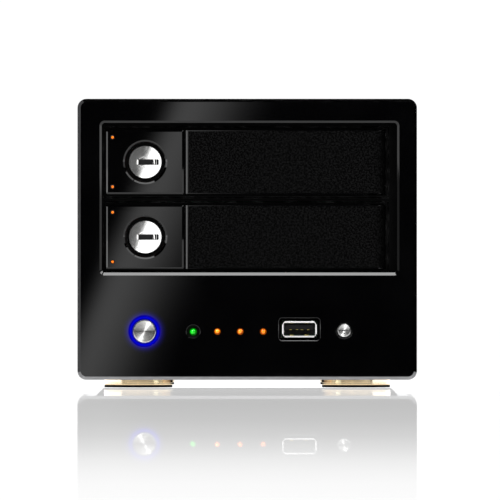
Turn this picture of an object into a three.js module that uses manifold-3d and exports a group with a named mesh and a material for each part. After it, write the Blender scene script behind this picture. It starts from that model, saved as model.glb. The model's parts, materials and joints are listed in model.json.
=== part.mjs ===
// Two-bay desktop network storage unit: a gloss fascia with two lockable drive trays, a folded
// aluminium case, a drive cage over the mainboard, a rear fan and connectors.
// Millimetres, +Z up, the fascia faces -Y. Origin: centre of the footprint, on the table.
import * as THREE from "three";
import { mergeVertices } from "three/addons/utils/BufferGeometryUtils.js";
import Module from "manifold-3d";

const wasm = await Module();
wasm.setup();

// ---------------------------------------------------------------- driving dimensions
// Depths are counted from the fascia's front face (0) towards the back until the last line.
const WIDTH = 135.8; // fascia
const BODY_Z0 = 3.2; // underside of the fascia, above the table
const BODY_Z1 = 115.6;
const CORNER_R = 3.6;
const EDGE = 1.4; // rounding of the fascia's front edge
const FASCIA_WALL = 4.0;
const FASCIA_DEPTH = 10.0;

const WINDOW = { x0: -58.2, x1: 60.0, z0: 46.1, z1: 106.0, r: 1.4, bevel: 1.2 };

const TRAY_X = -0.5; // middle of the trays
const TRAY_Z = { upper: 90.3, lower: 60.3 };
const FACE_HALF_W = 56.0;
const FACE_HALF_H = 12.8;
const FACE_Y = 1.5;
const SURROUND_HALF_W = 56.8; // the tray's flange, which fills the bay opening
const SURROUND_HALF_H = 14.0;
const BAY_GAP = 0.3;
const LOCK_X = -40.8;
const LOCK_R = 6.6;
const KEY_PIN_R = 3.5; // radius of the drive pin that works the bolt
const HANDLE_X0 = -24.6; // free end of the handle
const PIVOT = { x: 51.4, y: 5.6, r: 3.9 };
const LUG_R = 2.3; // tray lug round the hinge pin

const DRIVE = { w: 101.6, l: 147.0, h: 26.1, y0: 18.0 };
const CARRIER_Y1 = 166.0;

const FAN = { x: 0, z: 75.5, half: 30, y0: 177.0, y1: 197.0, bore: 28.5 };
const REAR_Y0 = 198.3;
const REAR_Y1 = 199.8;

const FOOT_R = 13.8;
const FOOT_X = 43.7;
const FOOT_Y = [30.0, 172.0];
const PAD_H = 1.0;
const FOOT_TOP = 3.7;

const POWER = { x: -41.1, z: 22.6, r: 4.65, ring: 6.05 };
const COPY = { x: 38.8, z: 23.0, r: 2.7 };
const STATUS_LED = { x: -21.6, z: 22.4, r: 1.2 };
const ACTIVITY_X = [-11.9, -2.8, 6.4];
const ACTIVITY_Z = 22.5;
const USB = { x: 20.9, z: 23.4, w: 13.3, h: 5.9, wall: 0.4 };

const FRONT_Y = -1.2; // power button's face, the foremost point
const BACK_Y = 202.0; // finger guard, the rearmost point

// ---------------------------------------------------------------- materials
const mat = (color, roughness, metalness) =>
  new THREE.MeshStandardMaterial({ color, roughness, metalness });
const M = {
  gloss: mat(0x0a0a0b, 0.08, 0.0),
  satin: mat(0x101011, 0.45, 0.0),
  mesh: mat(0x0c0c0c, 0.85, 0.2),
  cover: mat(0x111112, 0.42, 0.8),
  zinc: mat(0xb4b6b8, 0.38, 0.9),
  steel: mat(0xd8d8d6, 0.22, 1.0),
  gold: mat(0xcfae74, 0.22, 1.0),
  rubber: mat(0x0b0b0b, 0.9, 0.0),
  board: mat(0x14532d, 0.55, 0.0),
  plastic: mat(0x17181a, 0.6, 0.0),
  casting: mat(0x9a9c9e, 0.5, 0.8),
  blue: mat(0x1020ff, 0.25, 0.0),
  green: mat(0x10c818, 0.2, 0.0),
  amber: mat(0xff8c10, 0.2, 0.0),
  heatsink: mat(0x2a2c30, 0.4, 0.8),
};

// ---------------------------------------------------------------- solids
function solidOf(geometry) {
  const g = geometry.clone();
  for (const a of ["normal", "uv"]) g.deleteAttribute(a);
  const merged = mergeVertices(g, 1e-4);
  const vertProperties = new Float32Array(merged.attributes.position.array);
  const triVerts = new Uint32Array(merged.index.array);
  const made = new wasm.Manifold(
    new wasm.Mesh({ numProp: 3, vertProperties, triVerts }),
  );
  if (made.volume() >= 0) return made;
  for (let i = 0; i < triVerts.length; i += 3)
    [triVerts[i + 1], triVerts[i + 2]] = [triVerts[i + 2], triVerts[i + 1]];
  return new wasm.Manifold(
    new wasm.Mesh({ numProp: 3, vertProperties, triVerts }),
  );
}
const asSolid = (s) => (s.isBufferGeometry ? solidOf(s) : s);
const fuse = (...s) => s.map(asSolid).reduce((a, b) => a.add(b));
const cut = (a, ...s) => s.map(asSolid).reduce((x, y) => x.subtract(y), asSolid(a));
function geometryOf(solid) {
  const m = asSolid(solid).getMesh();
  const v = new Float32Array(m.numVert * 3);
  for (let i = 0; i < m.numVert; i++)
    v.set(m.vertProperties.subarray(i * m.numProp, i * m.numProp + 3), i * 3);
  const g = new THREE.BufferGeometry();
  g.setAttribute("position", new THREE.BufferAttribute(v, 3));
  g.setIndex(new THREE.BufferAttribute(new Uint32Array(m.triVerts), 1));
  g.computeVertexNormals();
  return g;
}

const box = (x0, x1, y0, y1, z0, z1) =>
  new THREE.BoxGeometry(x1 - x0, y1 - y0, z1 - z0).translate(
    (x0 + x1) / 2,
    (y0 + y1) / 2,
    (z0 + z1) / 2,
  );
// A cylinder or cone along Y; r0 is the radius at y0 and r1 at y1.
const rodY = (x, z, r0, y0, y1, n = 24, r1 = r0) =>
  new THREE.CylinderGeometry(r1, r0, y1 - y0, n).translate(x, (y0 + y1) / 2, z);
const rodZ = (x, y, r, z0, z1, n = 24) =>
  new THREE.CylinderGeometry(r, r, z1 - z0, n)
    .rotateX(Math.PI / 2)
    .translate(x, y, (z0 + z1) / 2);
// A profile of [radius, y] turned about the Y axis through (x, z).
const turnY = (profile, x, z, n = 24) =>
  new THREE.LatheGeometry(
    profile.map(([r, y]) => new THREE.Vector2(r, y)),
    n,
  ).translate(x, 0, z);

function roundedRect(x0, x1, z0, z1, r) {
  const s = new THREE.Shape();
  s.moveTo(x0 + r, z0);
  s.lineTo(x1 - r, z0);
  s.absarc(x1 - r, z0 + r, r, -Math.PI / 2, 0, false);
  s.lineTo(x1, z1 - r);
  s.absarc(x1 - r, z1 - r, r, 0, Math.PI / 2, false);
  s.lineTo(x0 + r, z1);
  s.absarc(x0 + r, z1 - r, r, Math.PI / 2, Math.PI, false);
  s.lineTo(x0, z0 + r);
  s.absarc(x0 + r, z0 + r, r, Math.PI, Math.PI * 1.5, false);
  return s;
}
// A shape drawn in x and z, run along y from y0 to y1.
const alongY = (shape, y0, y1, options = {}) =>
  new THREE.ExtrudeGeometry(shape, {
    depth: y1 - y0,
    bevelEnabled: false,
    curveSegments: 4,
    ...options,
  })
    .rotateX(Math.PI / 2)
    .translate(0, y1, 0);
const slab = (x0, x1, z0, z1, r, y0, y1, seg = 4) =>
  alongY(roundedRect(x0, x1, z0, z1, r), y0, y1, { curveSegments: seg });
// A cutter that widens by size towards -Y and has the given outline at depth size.
const flare = (x0, x1, z0, z1, r, size) =>
  alongY(roundedRect(x0, x1, z0, z1, r), -2, 0, {
    bevelEnabled: true,
    bevelSize: size,
    bevelThickness: size,
    bevelSegments: 1,
  });
// A polygon of [x, z] points run along y.
function prismY(points, y0, y1) {
  const s = new THREE.Shape(points.map(([x, z]) => new THREE.Vector2(x, z)));
  return alongY(s, y0, y1);
}
// A shape drawn in x and y, run along z.
const alongZ = (shape, z0, z1, seg = 8) =>
  new THREE.ExtrudeGeometry(shape, {
    depth: z1 - z0,
    bevelEnabled: false,
    curveSegments: seg,
  }).translate(0, 0, z0);

const unit = new THREE.Group();
unit.name = "storage_unit";
function put(group, name, solid, material) {
  const mesh = new THREE.Mesh(geometryOf(solid), material);
  mesh.name = name;
  group.add(mesh);
  return mesh;
}

// ---------------------------------------------------------------- fascia
{
  const inset = WIDTH / 2 - EDGE;
  const block = alongY(
    roundedRect(-inset, inset, BODY_Z0 + EDGE, BODY_Z1 - EDGE, CORNER_R - EDGE),
    EDGE,
    FASCIA_DEPTH + 4,
    { bevelEnabled: true, bevelSize: EDGE, bevelThickness: EDGE, bevelSegments: 3 },
  );
  const shell = cut(
    block,
    box(-90, 90, FASCIA_DEPTH, 30, -10, 140),
    slab(-65.9, 65.9, BODY_Z0 + 2, BODY_Z1 - 2, 1.6, FASCIA_WALL, 30, 2),
    slab(WINDOW.x0, WINDOW.x1, WINDOW.z0, WINDOW.z1, WINDOW.r, -5, 30, 3),
    flare(WINDOW.x0, WINDOW.x1, WINDOW.z0, WINDOW.z1, WINDOW.r, WINDOW.bevel),
    rodY(POWER.x, POWER.z, POWER.ring + 0.2, -5, 12, 32),
    rodY(STATUS_LED.x, STATUS_LED.z, STATUS_LED.r + 0.2, -5, 12, 16),
    rodY(STATUS_LED.x, STATUS_LED.z, 3.1, -0.01, 1.0, 20, 1.5),
    ...ACTIVITY_X.flatMap((x) => [
      rodY(x, ACTIVITY_Z, 1.25, -5, 12, 16),
      rodY(x, ACTIVITY_Z, 1.6, -0.01, 0.35, 16, 1.25),
    ]),
    rodY(COPY.x, COPY.z, COPY.r + 0.25, -5, 12, 20),
    rodY(COPY.x, COPY.z, 3.45, -0.01, 0.5, 20, COPY.r + 0.25),
    slab(USB.x - 8.2, USB.x + 8.2, USB.z - 4.55, USB.z + 4.55, 1.6, -5, 1.4, 3),
    slab(USB.x - 7.5, USB.x + 7.5, USB.z - 3.5, USB.z + 3.5, 0.8, -5, 12, 2),
  );
  put(unit, "fascia", shell, M.gloss);
}

// Insert behind the window, with one opening for each tray and a divider between them.
{
  const hw = SURROUND_HALF_W + BAY_GAP,
    hh = SURROUND_HALF_H + BAY_GAP;
  const openings = Object.values(TRAY_Z).map((z) =>
    box(TRAY_X - hw, TRAY_X + hw, 0, 20, z - hh, z + hh),
  );
  put(
    unit,
    "bay_surround",
    cut(slab(-61.5, 63.3, 43.0, 109.2, 1.5, 4.2, 7.2, 2), ...openings),
    M.satin,
  );
}

// ---------------------------------------------------------------- case
{
  const t = 1.5,
    x = 67.2,
    top = 115.0,
    z0 = 4.3,
    r = 3.2;
  const s = new THREE.Shape();
  s.moveTo(-x, z0);
  s.lineTo(-x + t, z0);
  s.lineTo(-x + t, top - r);
  s.absarc(-x + r, top - r, r - t, Math.PI, Math.PI / 2, true);
  s.lineTo(x - r, top - t);
  s.absarc(x - r, top - r, r - t, Math.PI / 2, 0, true);
  s.lineTo(x - t, z0);
  s.lineTo(x, z0);
  s.lineTo(x, top - r);
  s.absarc(x - r, top - r, r, 0, Math.PI / 2, false);
  s.lineTo(-x + r, top);
  s.absarc(-x + r, top - r, r, Math.PI / 2, Math.PI, false);
  put(unit, "top_cover", alongY(s, FASCIA_DEPTH + 0.3, REAR_Y1 + 0.2), M.cover);
}
{
  const x = 65.4,
    t = 1.5,
    z = 4.0;
  const profile = [
    [-x, z],
    [x, z],
    [x, 14],
    [x - t, 14],
    [x - t, z + t],
    [-x + t, z + t],
    [-x + t, 14],
    [-x, 14],
  ];
  const slots = [];
  for (let i = 0; i < 6; i++)
    slots.push(box(-30, 30, 84 + i * 10, 87 + i * 10, 0, 10));
  const posts = [
    [-50, 70],
    [50, 70],
    [-50, 184],
    [50, 184],
  ].map(([px, py]) => rodZ(px, py, 2.6, z + 0.5, 11.8, 8));
  put(
    unit,
    "base_pan",
    fuse(cut(prismY(profile, FASCIA_DEPTH + 0.3, 198.0), ...slots), ...posts),
    M.zinc,
  );
}
{
  const hole = (r, n) => rodY(FAN.x, FAN.z, r, 190, 210, n);
  put(
    unit,
    "rear_panel",
    cut(
      slab(-65.3, 65.3, 5.8, 113.2, 1.5, REAR_Y0, REAR_Y1, 2),
      hole(28.0, 32),
      box(-32.4, -15.6, 190, 210, 13.4, 27.8), // network socket
      box(-4.0, 10.8, 190, 210, 13.4, 30.2), // rear USB ports
      box(29.6, 39.4, 190, 210, 13.4, 25.2), // power inlet
    ),
    M.cover,
  );
}

// ---------------------------------------------------------------- drive cage
function cageWall(side) {
  // side -1 is the left wall; the grooves take the trays' runners
  const inner = TRAY_X + side * 53.6,
    outer = inner + side * 4.5,
    deep = inner + side * 2.2;
  const lo = (a, b) => Math.min(a, b),
    hi = (a, b) => Math.max(a, b);
  const grooves = Object.values(TRAY_Z).map((z) =>
    box(
      lo(inner - side * 1, deep),
      hi(inner - side * 1, deep),
      0,
      200,
      z - 8.4,
      z - 4.6,
    ),
  );
  return cut(
    box(lo(inner, outer), hi(inner, outer), 12.8, 172.0, 44.1, 106.0),
    ...grooves,
  );
}
put(unit, "cage_wall_left", cageWall(-1), M.plastic);
put(unit, "cage_wall_right", cageWall(1), M.plastic);
put(
  unit,
  "cage_bridge",
  prismY(
    [
      [-62.2, 5.8],
      [-61.0, 5.8],
      [-61.0, 42.6],
      [61.0, 42.6],
      [61.0, 5.8],
      [62.2, 5.8],
      [62.2, 43.8],
      [-62.2, 43.8],
    ],
    19.0,
    174.0,
  ),
  M.zinc,
);

// ---------------------------------------------------------------- electronics
put(
  unit,
  "backplane",
  cut(
    box(-53.7, 52.7, 170.0, 171.6, 44.6, 105.5),
    ...Object.values(TRAY_Z).map((z) => box(-44, 43, 165, 175, z - 1, z + 9)),
  ),
  M.board,
);
for (const [where, z] of Object.entries(TRAY_Z))
  put(
    unit,
    "drive_socket_" + where,
    fuse(
      box(3.6, 42.4, 165.6, 169.8, z - 12.2, z - 6.6),
      box(5.0, 41.0, 160.6, 165.8, z - 10.6, z - 8.2),
    ),
    M.plastic,
  );
put(
  unit,
  "mainboard",
  fuse(
    box(-56, 56, 62.0, 193.0, 12.0, 13.5),
    box(8, 20, 96, 118, 13.3, 15.0), // memory
    box(26, 38, 96, 118, 13.3, 15.0),
    box(-49, -37, 78, 84, 13.3, 19.5), // front harness header
    box(30, 48, 66, 72, 13.3, 21.0), // backplane header
    rodZ(44, 150, 4, 13.3, 22, 12),
    rodZ(44, 162, 4, 13.3, 22, 12),
  ),
  M.board,
);
{
  const fins = [];
  for (let i = 0; i < 7; i++)
    fins.push(box(-28 + i * 5.2, -26.6 + i * 5.2, 92, 126, 17.4, 28));
  put(unit, "heatsink", fuse(box(-28, 4.6, 92, 126, 13.8, 17.6), ...fins), M.heatsink);
}
// Network socket: a cavity that opens to the rear, with the latch notch under it.
put(
  unit,
  "network_socket",
  cut(
    box(-32.0, -16.0, 180.5, 200.6, 13.8, 27.4),
    box(-29.9, -18.1, 187.5, 210, 17.2, 25.2),
    box(-26.6, -21.4, 187.5, 210, 15.2, 17.4),
  ),
  M.steel,
);
{
  const port = (z) =>
    cut(
      box(-2.85, 9.65, 188.0, 210, z - 2.55, z + 2.55),
      box(-2.15, 8.95, 180, 199.4, z - 0.1, z + 1.7),
    );
  put(
    unit,
    "rear_usb_ports",
    cut(box(-3.6, 10.4, 183.0, 200.8, 13.8, 29.8), port(17.9), port(25.6)),
    M.steel,
  );
}
put(
  unit,
  "power_inlet",
  fuse(
    cut(
      box(30.0, 39.0, 186.0, 200.4, 13.8, 24.8),
      rodY(34.5, 19.4, 2.9, 189.0, 210, 20),
    ),
    rodY(34.5, 19.4, 1.05, 188.5, 199.4, 12),
  ),
  M.plastic,
);

// ---------------------------------------------------------------- front board and its parts
put(
  unit,
  "front_board",
  fuse(
    box(-52, 50, 14.0, 15.6, 10.0, 36.0),
    box(POWER.x - 3, POWER.x + 3, 10.8, 14.2, POWER.z - 3, POWER.z + 3),
    box(COPY.x - 3, COPY.x + 3, 10.8, 14.2, COPY.z - 3, COPY.z + 3),
    box(-49, -37, 15.4, 18.0, 28, 34),
  ),
  M.board,
);
// Ribbon from the front board to the mainboard, with a plug on each end.
{
  const x = -43;
  const route = new THREE.CatmullRomCurve3(
    [
      [18.9, 31.0],
      [23.0, 31.0],
      [30.0, 30.6],
      [42.0, 29.6],
      [56.0, 29.2],
      [70.0, 29.0],
      [77.4, 28.2],
      [80.6, 25.4],
      [81.0, 22.0],
      [81.0, 20.6],
    ].map(([y, z]) => new THREE.Vector3(x, y, z)),
  );
  const section = new THREE.Shape(
    [
      [-0.6, -5],
      [0.6, -5],
      [0.6, 5],
      [-0.6, 5],
    ].map(([u, v]) => new THREE.Vector2(u, v)),
  );
  put(
    unit,
    "front_cable",
    fuse(
      new THREE.ExtrudeGeometry(section, { steps: 36, extrudePath: route, bevelEnabled: false }),
      box(x - 5.8, x + 5.8, 18.3, 21.2, 28.6, 33.4),
      box(x - 5.8, x + 5.8, 78.6, 83.4, 19.8, 22.6),
    ),
    M.plastic,
  );
}

// Lamps: a domed lens on a body that stands on the board.
const lamp = (r, x, z) =>
  turnY(
    [
      [0, -0.25],
      [r * 0.6, -0.05],
      [r * 0.92, 0.45],
      [r, 1.1],
      [r, 9.0],
      [r + 0.5, 9.2],
      [r + 0.5, 13.8],
      [0, 13.8],
    ],
    x,
    z,
    16,
  );
put(unit, "status_lamp", lamp(STATUS_LED.r, STATUS_LED.x, STATUS_LED.z), M.green);
ACTIVITY_X.forEach((x, i) =>
  put(unit, "activity_lamp_" + (i + 1), lamp(1.05, x, ACTIVITY_Z), M.amber),
);
put(
  unit,
  "power_ring",
  turnY(
    [
      [4.9, 0.1],
      [5.9, 0.0],
      [POWER.ring, 0.2],
      [POWER.ring, 4.2],
      [7.4, 4.2],
      [7.4, 6.4],
      [4.9, 6.4],
      [4.9, 0.1],
    ],
    POWER.x,
    POWER.z,
    32,
  ),
  M.blue,
);
put(
  unit,
  "power_button",
  turnY(
    [
      [0, FRONT_Y + 0.15],
      [4.2, FRONT_Y],
      [POWER.r, FRONT_Y + 0.4],
      [POWER.r, 7.0],
      [5.6, 7.0],
      [5.6, 8.0],
      [2.0, 8.2],
      [2.0, 9.4],
      [0, 9.4],
    ],
    POWER.x,
    POWER.z,
    32,
  ),
  M.steel,
);
put(
  unit,
  "copy_button",
  turnY(
    [
      [0, -0.7],
      [2.35, -0.8],
      [COPY.r, -0.4],
      [COPY.r, 4.6],
      [3.7, 4.6],
      [3.7, 5.6],
      [1.6, 5.8],
      [1.6, 9.4],
      [0, 9.4],
    ],
    COPY.x,
    COPY.z,
    24,
  ),
  M.steel,
);
{
  const hw = USB.w / 2,
    hh = USB.h / 2;
  put(
    unit,
    "front_usb_shell",
    cut(
      fuse(
        slab(USB.x - hw, USB.x + hw, USB.z - hh, USB.z + hh, 0.6, 0.5, 13.8, 2),
        slab(USB.x - 7.3, USB.x + 7.3, USB.z - 3.3, USB.z + 3.3, 0.7, 0.5, 1.2, 2),
      ),
      slab(
        USB.x - hw + USB.wall,
        USB.x + hw - USB.wall,
        USB.z - hh + USB.wall,
        USB.z + hh - USB.wall,
        0.4,
        -5,
        20,
        2,
      ),
    ),
    M.steel,
  );
  put(
    unit,
    "front_usb_tongue",
    fuse(
      box(USB.x - 5.9, USB.x + 5.9, 11.0, 13.6, USB.z - 2.2, USB.z + 2.2),
      box(USB.x - 5.6, USB.x + 5.6, 1.5, 11.2, USB.z - 0.05, USB.z + 1.75),
    ),
    M.plastic,
  );
}

// ---------------------------------------------------------------- fan
{
  const cx = FAN.x,
    cz = FAN.z,
    h = FAN.half;
  const strut = (a) => {
    const g = new THREE.BoxGeometry(20, 2.4, 2.6);
    g.translate(20, 0, 0).rotateY(a);
    return g.translate(cx, FAN.y1 - 1.4, cz);
  };
  const frame = fuse(
    cut(
      slab(cx - h, cx + h, cz - h, cz + h, 3.5, FAN.y0, FAN.y1, 3),
      rodY(cx, cz, FAN.bore, FAN.y0 - 5, FAN.y1 + 5, 32),
    ),
    rodY(cx, cz, 12.0, FAN.y1 - 3.0, FAN.y1 - 0.2, 24),
    ...[0.25, 0.75, 1.25, 1.75].map((k) => strut(k * Math.PI)),
    rodY(cx, cz, 1.5, FAN.y1 - 14, FAN.y1 - 2, 12),
  );
  put(unit, "fan_frame", frame, M.plastic);

  const hub = cut(
    rodY(cx, cz, 12.5, FAN.y0 + 2.0, FAN.y1 - 4.2, 24),
    rodY(cx, cz, 11.2, FAN.y0 + 4.0, FAN.y1, 24),
  );
  const boss = cut(
    rodY(cx, cz, 3.4, FAN.y0 + 3.5, FAN.y1 - 6, 16),
    rodY(cx, cz, 1.75, FAN.y0 + 5.2, FAN.y1, 12),
  );
  const blades = [];
  for (let i = 0; i < 7; i++) {
    const b = new THREE.BoxGeometry(15.6, 13.5, 1.3);
    b.rotateX(-0.72).translate(19.5, FAN.y0 + 9.0, 0);
    blades.push(b.rotateY((i * 2 * Math.PI) / 7).translate(cx, 0, cz));
  }
  put(unit, "fan_rotor", fuse(hub, boss, ...blades), M.plastic);
}
{
  const ring = (r) =>
    turnY(
      [
        [r - 0.8, BACK_Y - 1.6],
        [r + 0.8, BACK_Y - 1.6],
        [r + 0.8, BACK_Y],
        [r - 0.8, BACK_Y],
        [r - 0.8, BACK_Y - 1.6],
      ],
      FAN.x,
      FAN.z,
      28,
    );
  const arm = (a) =>
    new THREE.BoxGeometry(34.0, 1.6, 1.6)
      .translate(19.0, 0, 0)
      .rotateY(a)
      .translate(FAN.x, BACK_Y - 1.1, FAN.z);
  put(
    unit,
    "finger_guard",
    fuse(ring(5), ring(12), ring(19), ring(26), ...[0.25, 0.75, 1.25, 1.75].map((k) => arm(k * Math.PI))),
    M.steel,
  );
}

// ---------------------------------------------------------------- feet
for (const [fy, front] of [
  [FOOT_Y[0], "front"],
  [FOOT_Y[1], "rear"],
])
  for (const [fx, side] of [
    [-FOOT_X, "left"],
    [FOOT_X, "right"],
  ]) {
    put(unit, `foot_${front}_${side}`, rodZ(fx, fy, FOOT_R, PAD_H + 0.1, FOOT_TOP, 32), M.gold);
    put(unit, `foot_pad_${front}_${side}`, rodZ(fx, fy, FOOT_R - 0.1, 0, PAD_H, 32), M.rubber);
  }

// ---------------------------------------------------------------- trays
function tray(where) {
  const g = new THREE.Group();
  g.position.z = TRAY_Z[where];
  const n = (name) => `${name}_${where}`;
  const L = TRAY_X - FACE_HALF_W,
    R = TRAY_X + FACE_HALF_W,
    H = FACE_HALF_H;

  // Front: the lock block on the left, a flange frame and a back wall joined by two rails behind
  // the handle, and two lugs that hold the hinge pin.
  const lug = (z0, z1) => [
    rodZ(PIVOT.x, PIVOT.y, LUG_R, z0, z1, 20),
    box(46.6, PIVOT.x, 4.5, 7.4, z0, z1),
  ];
  const front = cut(
    fuse(
      slab(L, -25.4, -H, H, 0.5, FACE_Y, 12.0, 2),
      box(-26.0, 47.0, 4.5, 12.0, H - 1.3, H),
      box(-26.0, 47.0, 4.5, 12.0, -H, -H + 1.3),
      box(
        TRAY_X - SURROUND_HALF_W,
        TRAY_X + SURROUND_HALF_W,
        9.8,
        12.0,
        -SURROUND_HALF_H,
        SURROUND_HALF_H,
      ),
      cut(
        box(
          TRAY_X - SURROUND_HALF_W,
          TRAY_X + SURROUND_HALF_W,
          4.4,
          6.8,
          -SURROUND_HALF_H,
          SURROUND_HALF_H,
        ),
        box(-25.0, R - 0.01, 0, 20, -H + 0.5, H - 0.5),
        box(46.7, R - 0.01, 0, 20, -H - 0.3, H + 0.3),
      ),
      ...lug(11.5, H),
      ...lug(-H, -11.5),
      box(-33.5, -27, 11.8, 14.6, 6.4, 8.0), // bolt guides
      box(-32.5, -27, 11.8, 14.6, -4.0, -2.4),
    ),
    rodY(LOCK_X, 0, 8.2, -5, 20, 32),
    rodY(LOCK_X, 0, 8.85, FACE_Y - 0.01, FACE_Y + 0.65, 32, 8.2),
    rodY(-53.9, 9.9, 0.75, -5, 20, 10),
    rodY(-53.9, -9.9, 0.75, -5, 20, 10),
    box(-24.4, -16.0, 8, 20, -5.0, 5.0), // way for the handle's keeper
    rodZ(PIVOT.x, PIVOT.y, 1.15, -20, 20, 14),
  );
  const vents = [];
  for (let i = 0; i < 4; i++)
    vents.push(box(-12 + i * 15.5, -1.5 + i * 15.5, 8, 20, -9, 9));
  put(g, n("tray_front"), cut(front, ...vents), M.gloss);

  // Carrier: floor, side walls and outside runners.
  const x0 = TRAY_X - 53.1,
    x1 = TRAY_X + 53.1;
  const slots = [];
  for (let i = 0; i < 4; i++)
    slots.push(box(-36, 35, 38 + i * 30, 54 + i * 30, -20, 0));
  put(
    g,
    n("tray_carrier"),
    fuse(
      cut(box(x0, x1, 12.3, CARRIER_Y1, -13.9, -12.9), ...slots),
      box(x0, x0 + 2, 14.6, CARRIER_Y1, -13.9, 3.0),
      box(x1 - 2, x1, 12.3, CARRIER_Y1, -13.9, 3.0),
      box(x0 - 1.6, x0 + 1, 26, CARRIER_Y1, -7.9, -5.1),
      box(x1 - 1, x1 + 1.6, 26, CARRIER_Y1, -7.9, -5.1),
    ),
    M.satin,
  );

  // Handle: a full-height skin that wraps the knuckle, a lower core behind it, a seat for the
  // mesh and a keeper for the bolt.
  const hh = 11.2;
  const s = new THREE.Shape();
  s.moveTo(HANDLE_X0 + 0.6, 1.9);
  s.lineTo(PIVOT.x, 1.9);
  s.absarc(PIVOT.x, PIVOT.y, PIVOT.r - 0.2, -Math.PI / 2, Math.PI, false);
  s.lineTo(PIVOT.x - PIVOT.r + 0.2, 6.6);
  s.lineTo(HANDLE_X0, 6.6);
  s.lineTo(HANDLE_X0, 2.3);
  const k = new THREE.Shape();
  k.moveTo(HANDLE_X0 + 0.4, 1.7);
  k.lineTo(PIVOT.x, 1.7);
  k.absarc(PIVOT.x, PIVOT.y, PIVOT.r, -Math.PI / 2, 0, false);
  k.lineTo(PIVOT.x + LUG_R + 0.3, PIVOT.y);
  k.absarc(PIVOT.x, PIVOT.y, LUG_R + 0.3, 0, -Math.PI / 2, true);
  k.lineTo(HANDLE_X0, PIVOT.y - LUG_R - 0.3);
  k.lineTo(HANDLE_X0, 2.1);
  const lever = cut(
    fuse(
      alongZ(k, -H, H, 6),
      alongZ(s, -hh, hh),
      box(-22.5, -20.5, 6.2, 16.4, -4.0, 4.0),
    ),
    box(-24.0, PIVOT.x, 0, 2.4, -12.2, 12.2), // seat for the mesh
    box(-19.0, 44.0, 0, 8.0, -8.8, 8.8), // air way
    box(-24, -19, 12.2, 14.9, -2.8, 2.8), // window in the keeper
    rodZ(PIVOT.x, PIVOT.y, 1.2, -20, 20, 14),
  );
  const ribs = [0, 1, 2].map((i) =>
    box(-4.0 + i * 16, -2.8 + i * 16, 3.4, 6.6, -9.4, 9.4),
  );
  put(g, n("handle"), fuse(lever, ...ribs), M.satin);
  put(g, n("handle_mesh"), box(-23.8, 51.2, 1.7, 2.2, -12.0, 12.0), M.mesh);
  put(g, n("hinge_pin"), rodZ(PIVOT.x, PIVOT.y, 1.0, -12.5, 12.5, 14), M.steel);

  // Lock: a fixed barrel, a turning plug with its drive pin, and the sliding bolt it works.
  put(
    g,
    n("lock_barrel"),
    turnY(
      [
        [LOCK_R + 0.2, 2.6],
        [7.9, 2.6],
        [7.9, 11.6],
        [LOCK_R + 0.2, 11.6],
        [LOCK_R + 0.2, 2.6],
      ],
      LOCK_X,
      0,
      32,
    ),
    M.satin,
  );
  const a = KEY_PIN_R * Math.SQRT1_2;
  put(
    g,
    n("lock_plug"),
    fuse(
      cut(
        turnY(
          [
            [0, 1.9],
            [6.2, 1.9],
            [LOCK_R, 2.3],
            [LOCK_R, 12.3],
            [0, 12.3],
          ],
          LOCK_X,
          0,
          32,
        ),
        box(LOCK_X - 3.4, LOCK_X + 5.4, 0, 8.0, -1.25, 1.25), // key way
      ),
      rodY(LOCK_X - a, a, 1.0, 12.0, 14.4, 12),
    ),
    M.steel,
  );
  put(
    g,
    n("lock_bolt"),
    cut(
      box(LOCK_X - 6.5, -23.3, 12.6, 14.2, -2.1, 6.1),
      box(LOCK_X - a - 1.35, LOCK_X - a + 1.35, 10, 20, 1.0, 5.1),
      box(-32.0, -20, 10, 20, 2.1, 8.0),
    ),
    M.zinc,
  );

  // Light guide: two prongs to the front on one bar.
  put(
    g,
    n("light_guide"),
    fuse(
      rodY(-53.9, 9.9, 0.6, FACE_Y - 0.05, 12.5, 10),
      rodY(-53.9, -9.9, 0.6, FACE_Y - 0.05, 12.5, 10),
      box(-53.7, -52.2, 12.3, 14.2, -10.9, 10.9),
    ),
    M.amber,
  );

  // Hard disk: a cast base that is open above, closed by its lid.
  const dx0 = TRAY_X - DRIVE.w / 2,
    dx1 = TRAY_X + DRIVE.w / 2,
    dy1 = DRIVE.y0 + DRIVE.l,
    dz0 = -12.7;
  put(
    g,
    n("disk_base"),
    cut(
      slab(dx0, dx1, dz0, dz0 + 24.6, 0.8, DRIVE.y0, dy1, 2),
      box(dx0 + 5, dx1 - 5, DRIVE.y0 + 6, dy1 - 22, dz0 + 8.5, 30),
      box(3.8, 42.2, 159.4, 170, -13.5, -6.2), // room for the socket
    ),
    M.casting,
  );
  put(
    g,
    n("disk_lid"),
    alongZ(
      roundedPlan(dx0 + 1.2, dx1 - 1.2, DRIVE.y0 + 1.0, dy1 - 6.0, 5.0),
      dz0 + 24.8,
      dz0 + DRIVE.h,
      4,
    ),
    M.steel,
  );
  return g;
}
function roundedPlan(x0, x1, y0, y1, r) {
  return roundedRect(x0, x1, y0, y1, r);
}
unit.add(tray("upper"), tray("lower"));

// Move the middle of the depth to the origin.
const part = new THREE.Group();
unit.position.y = -(FRONT_Y + BACK_Y) / 2;
part.add(unit);

export default part;
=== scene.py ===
import json
import math

import bmesh
import bpy
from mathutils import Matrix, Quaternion, Vector, noise
from mathutils.geometry import tessellate_polygon

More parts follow.
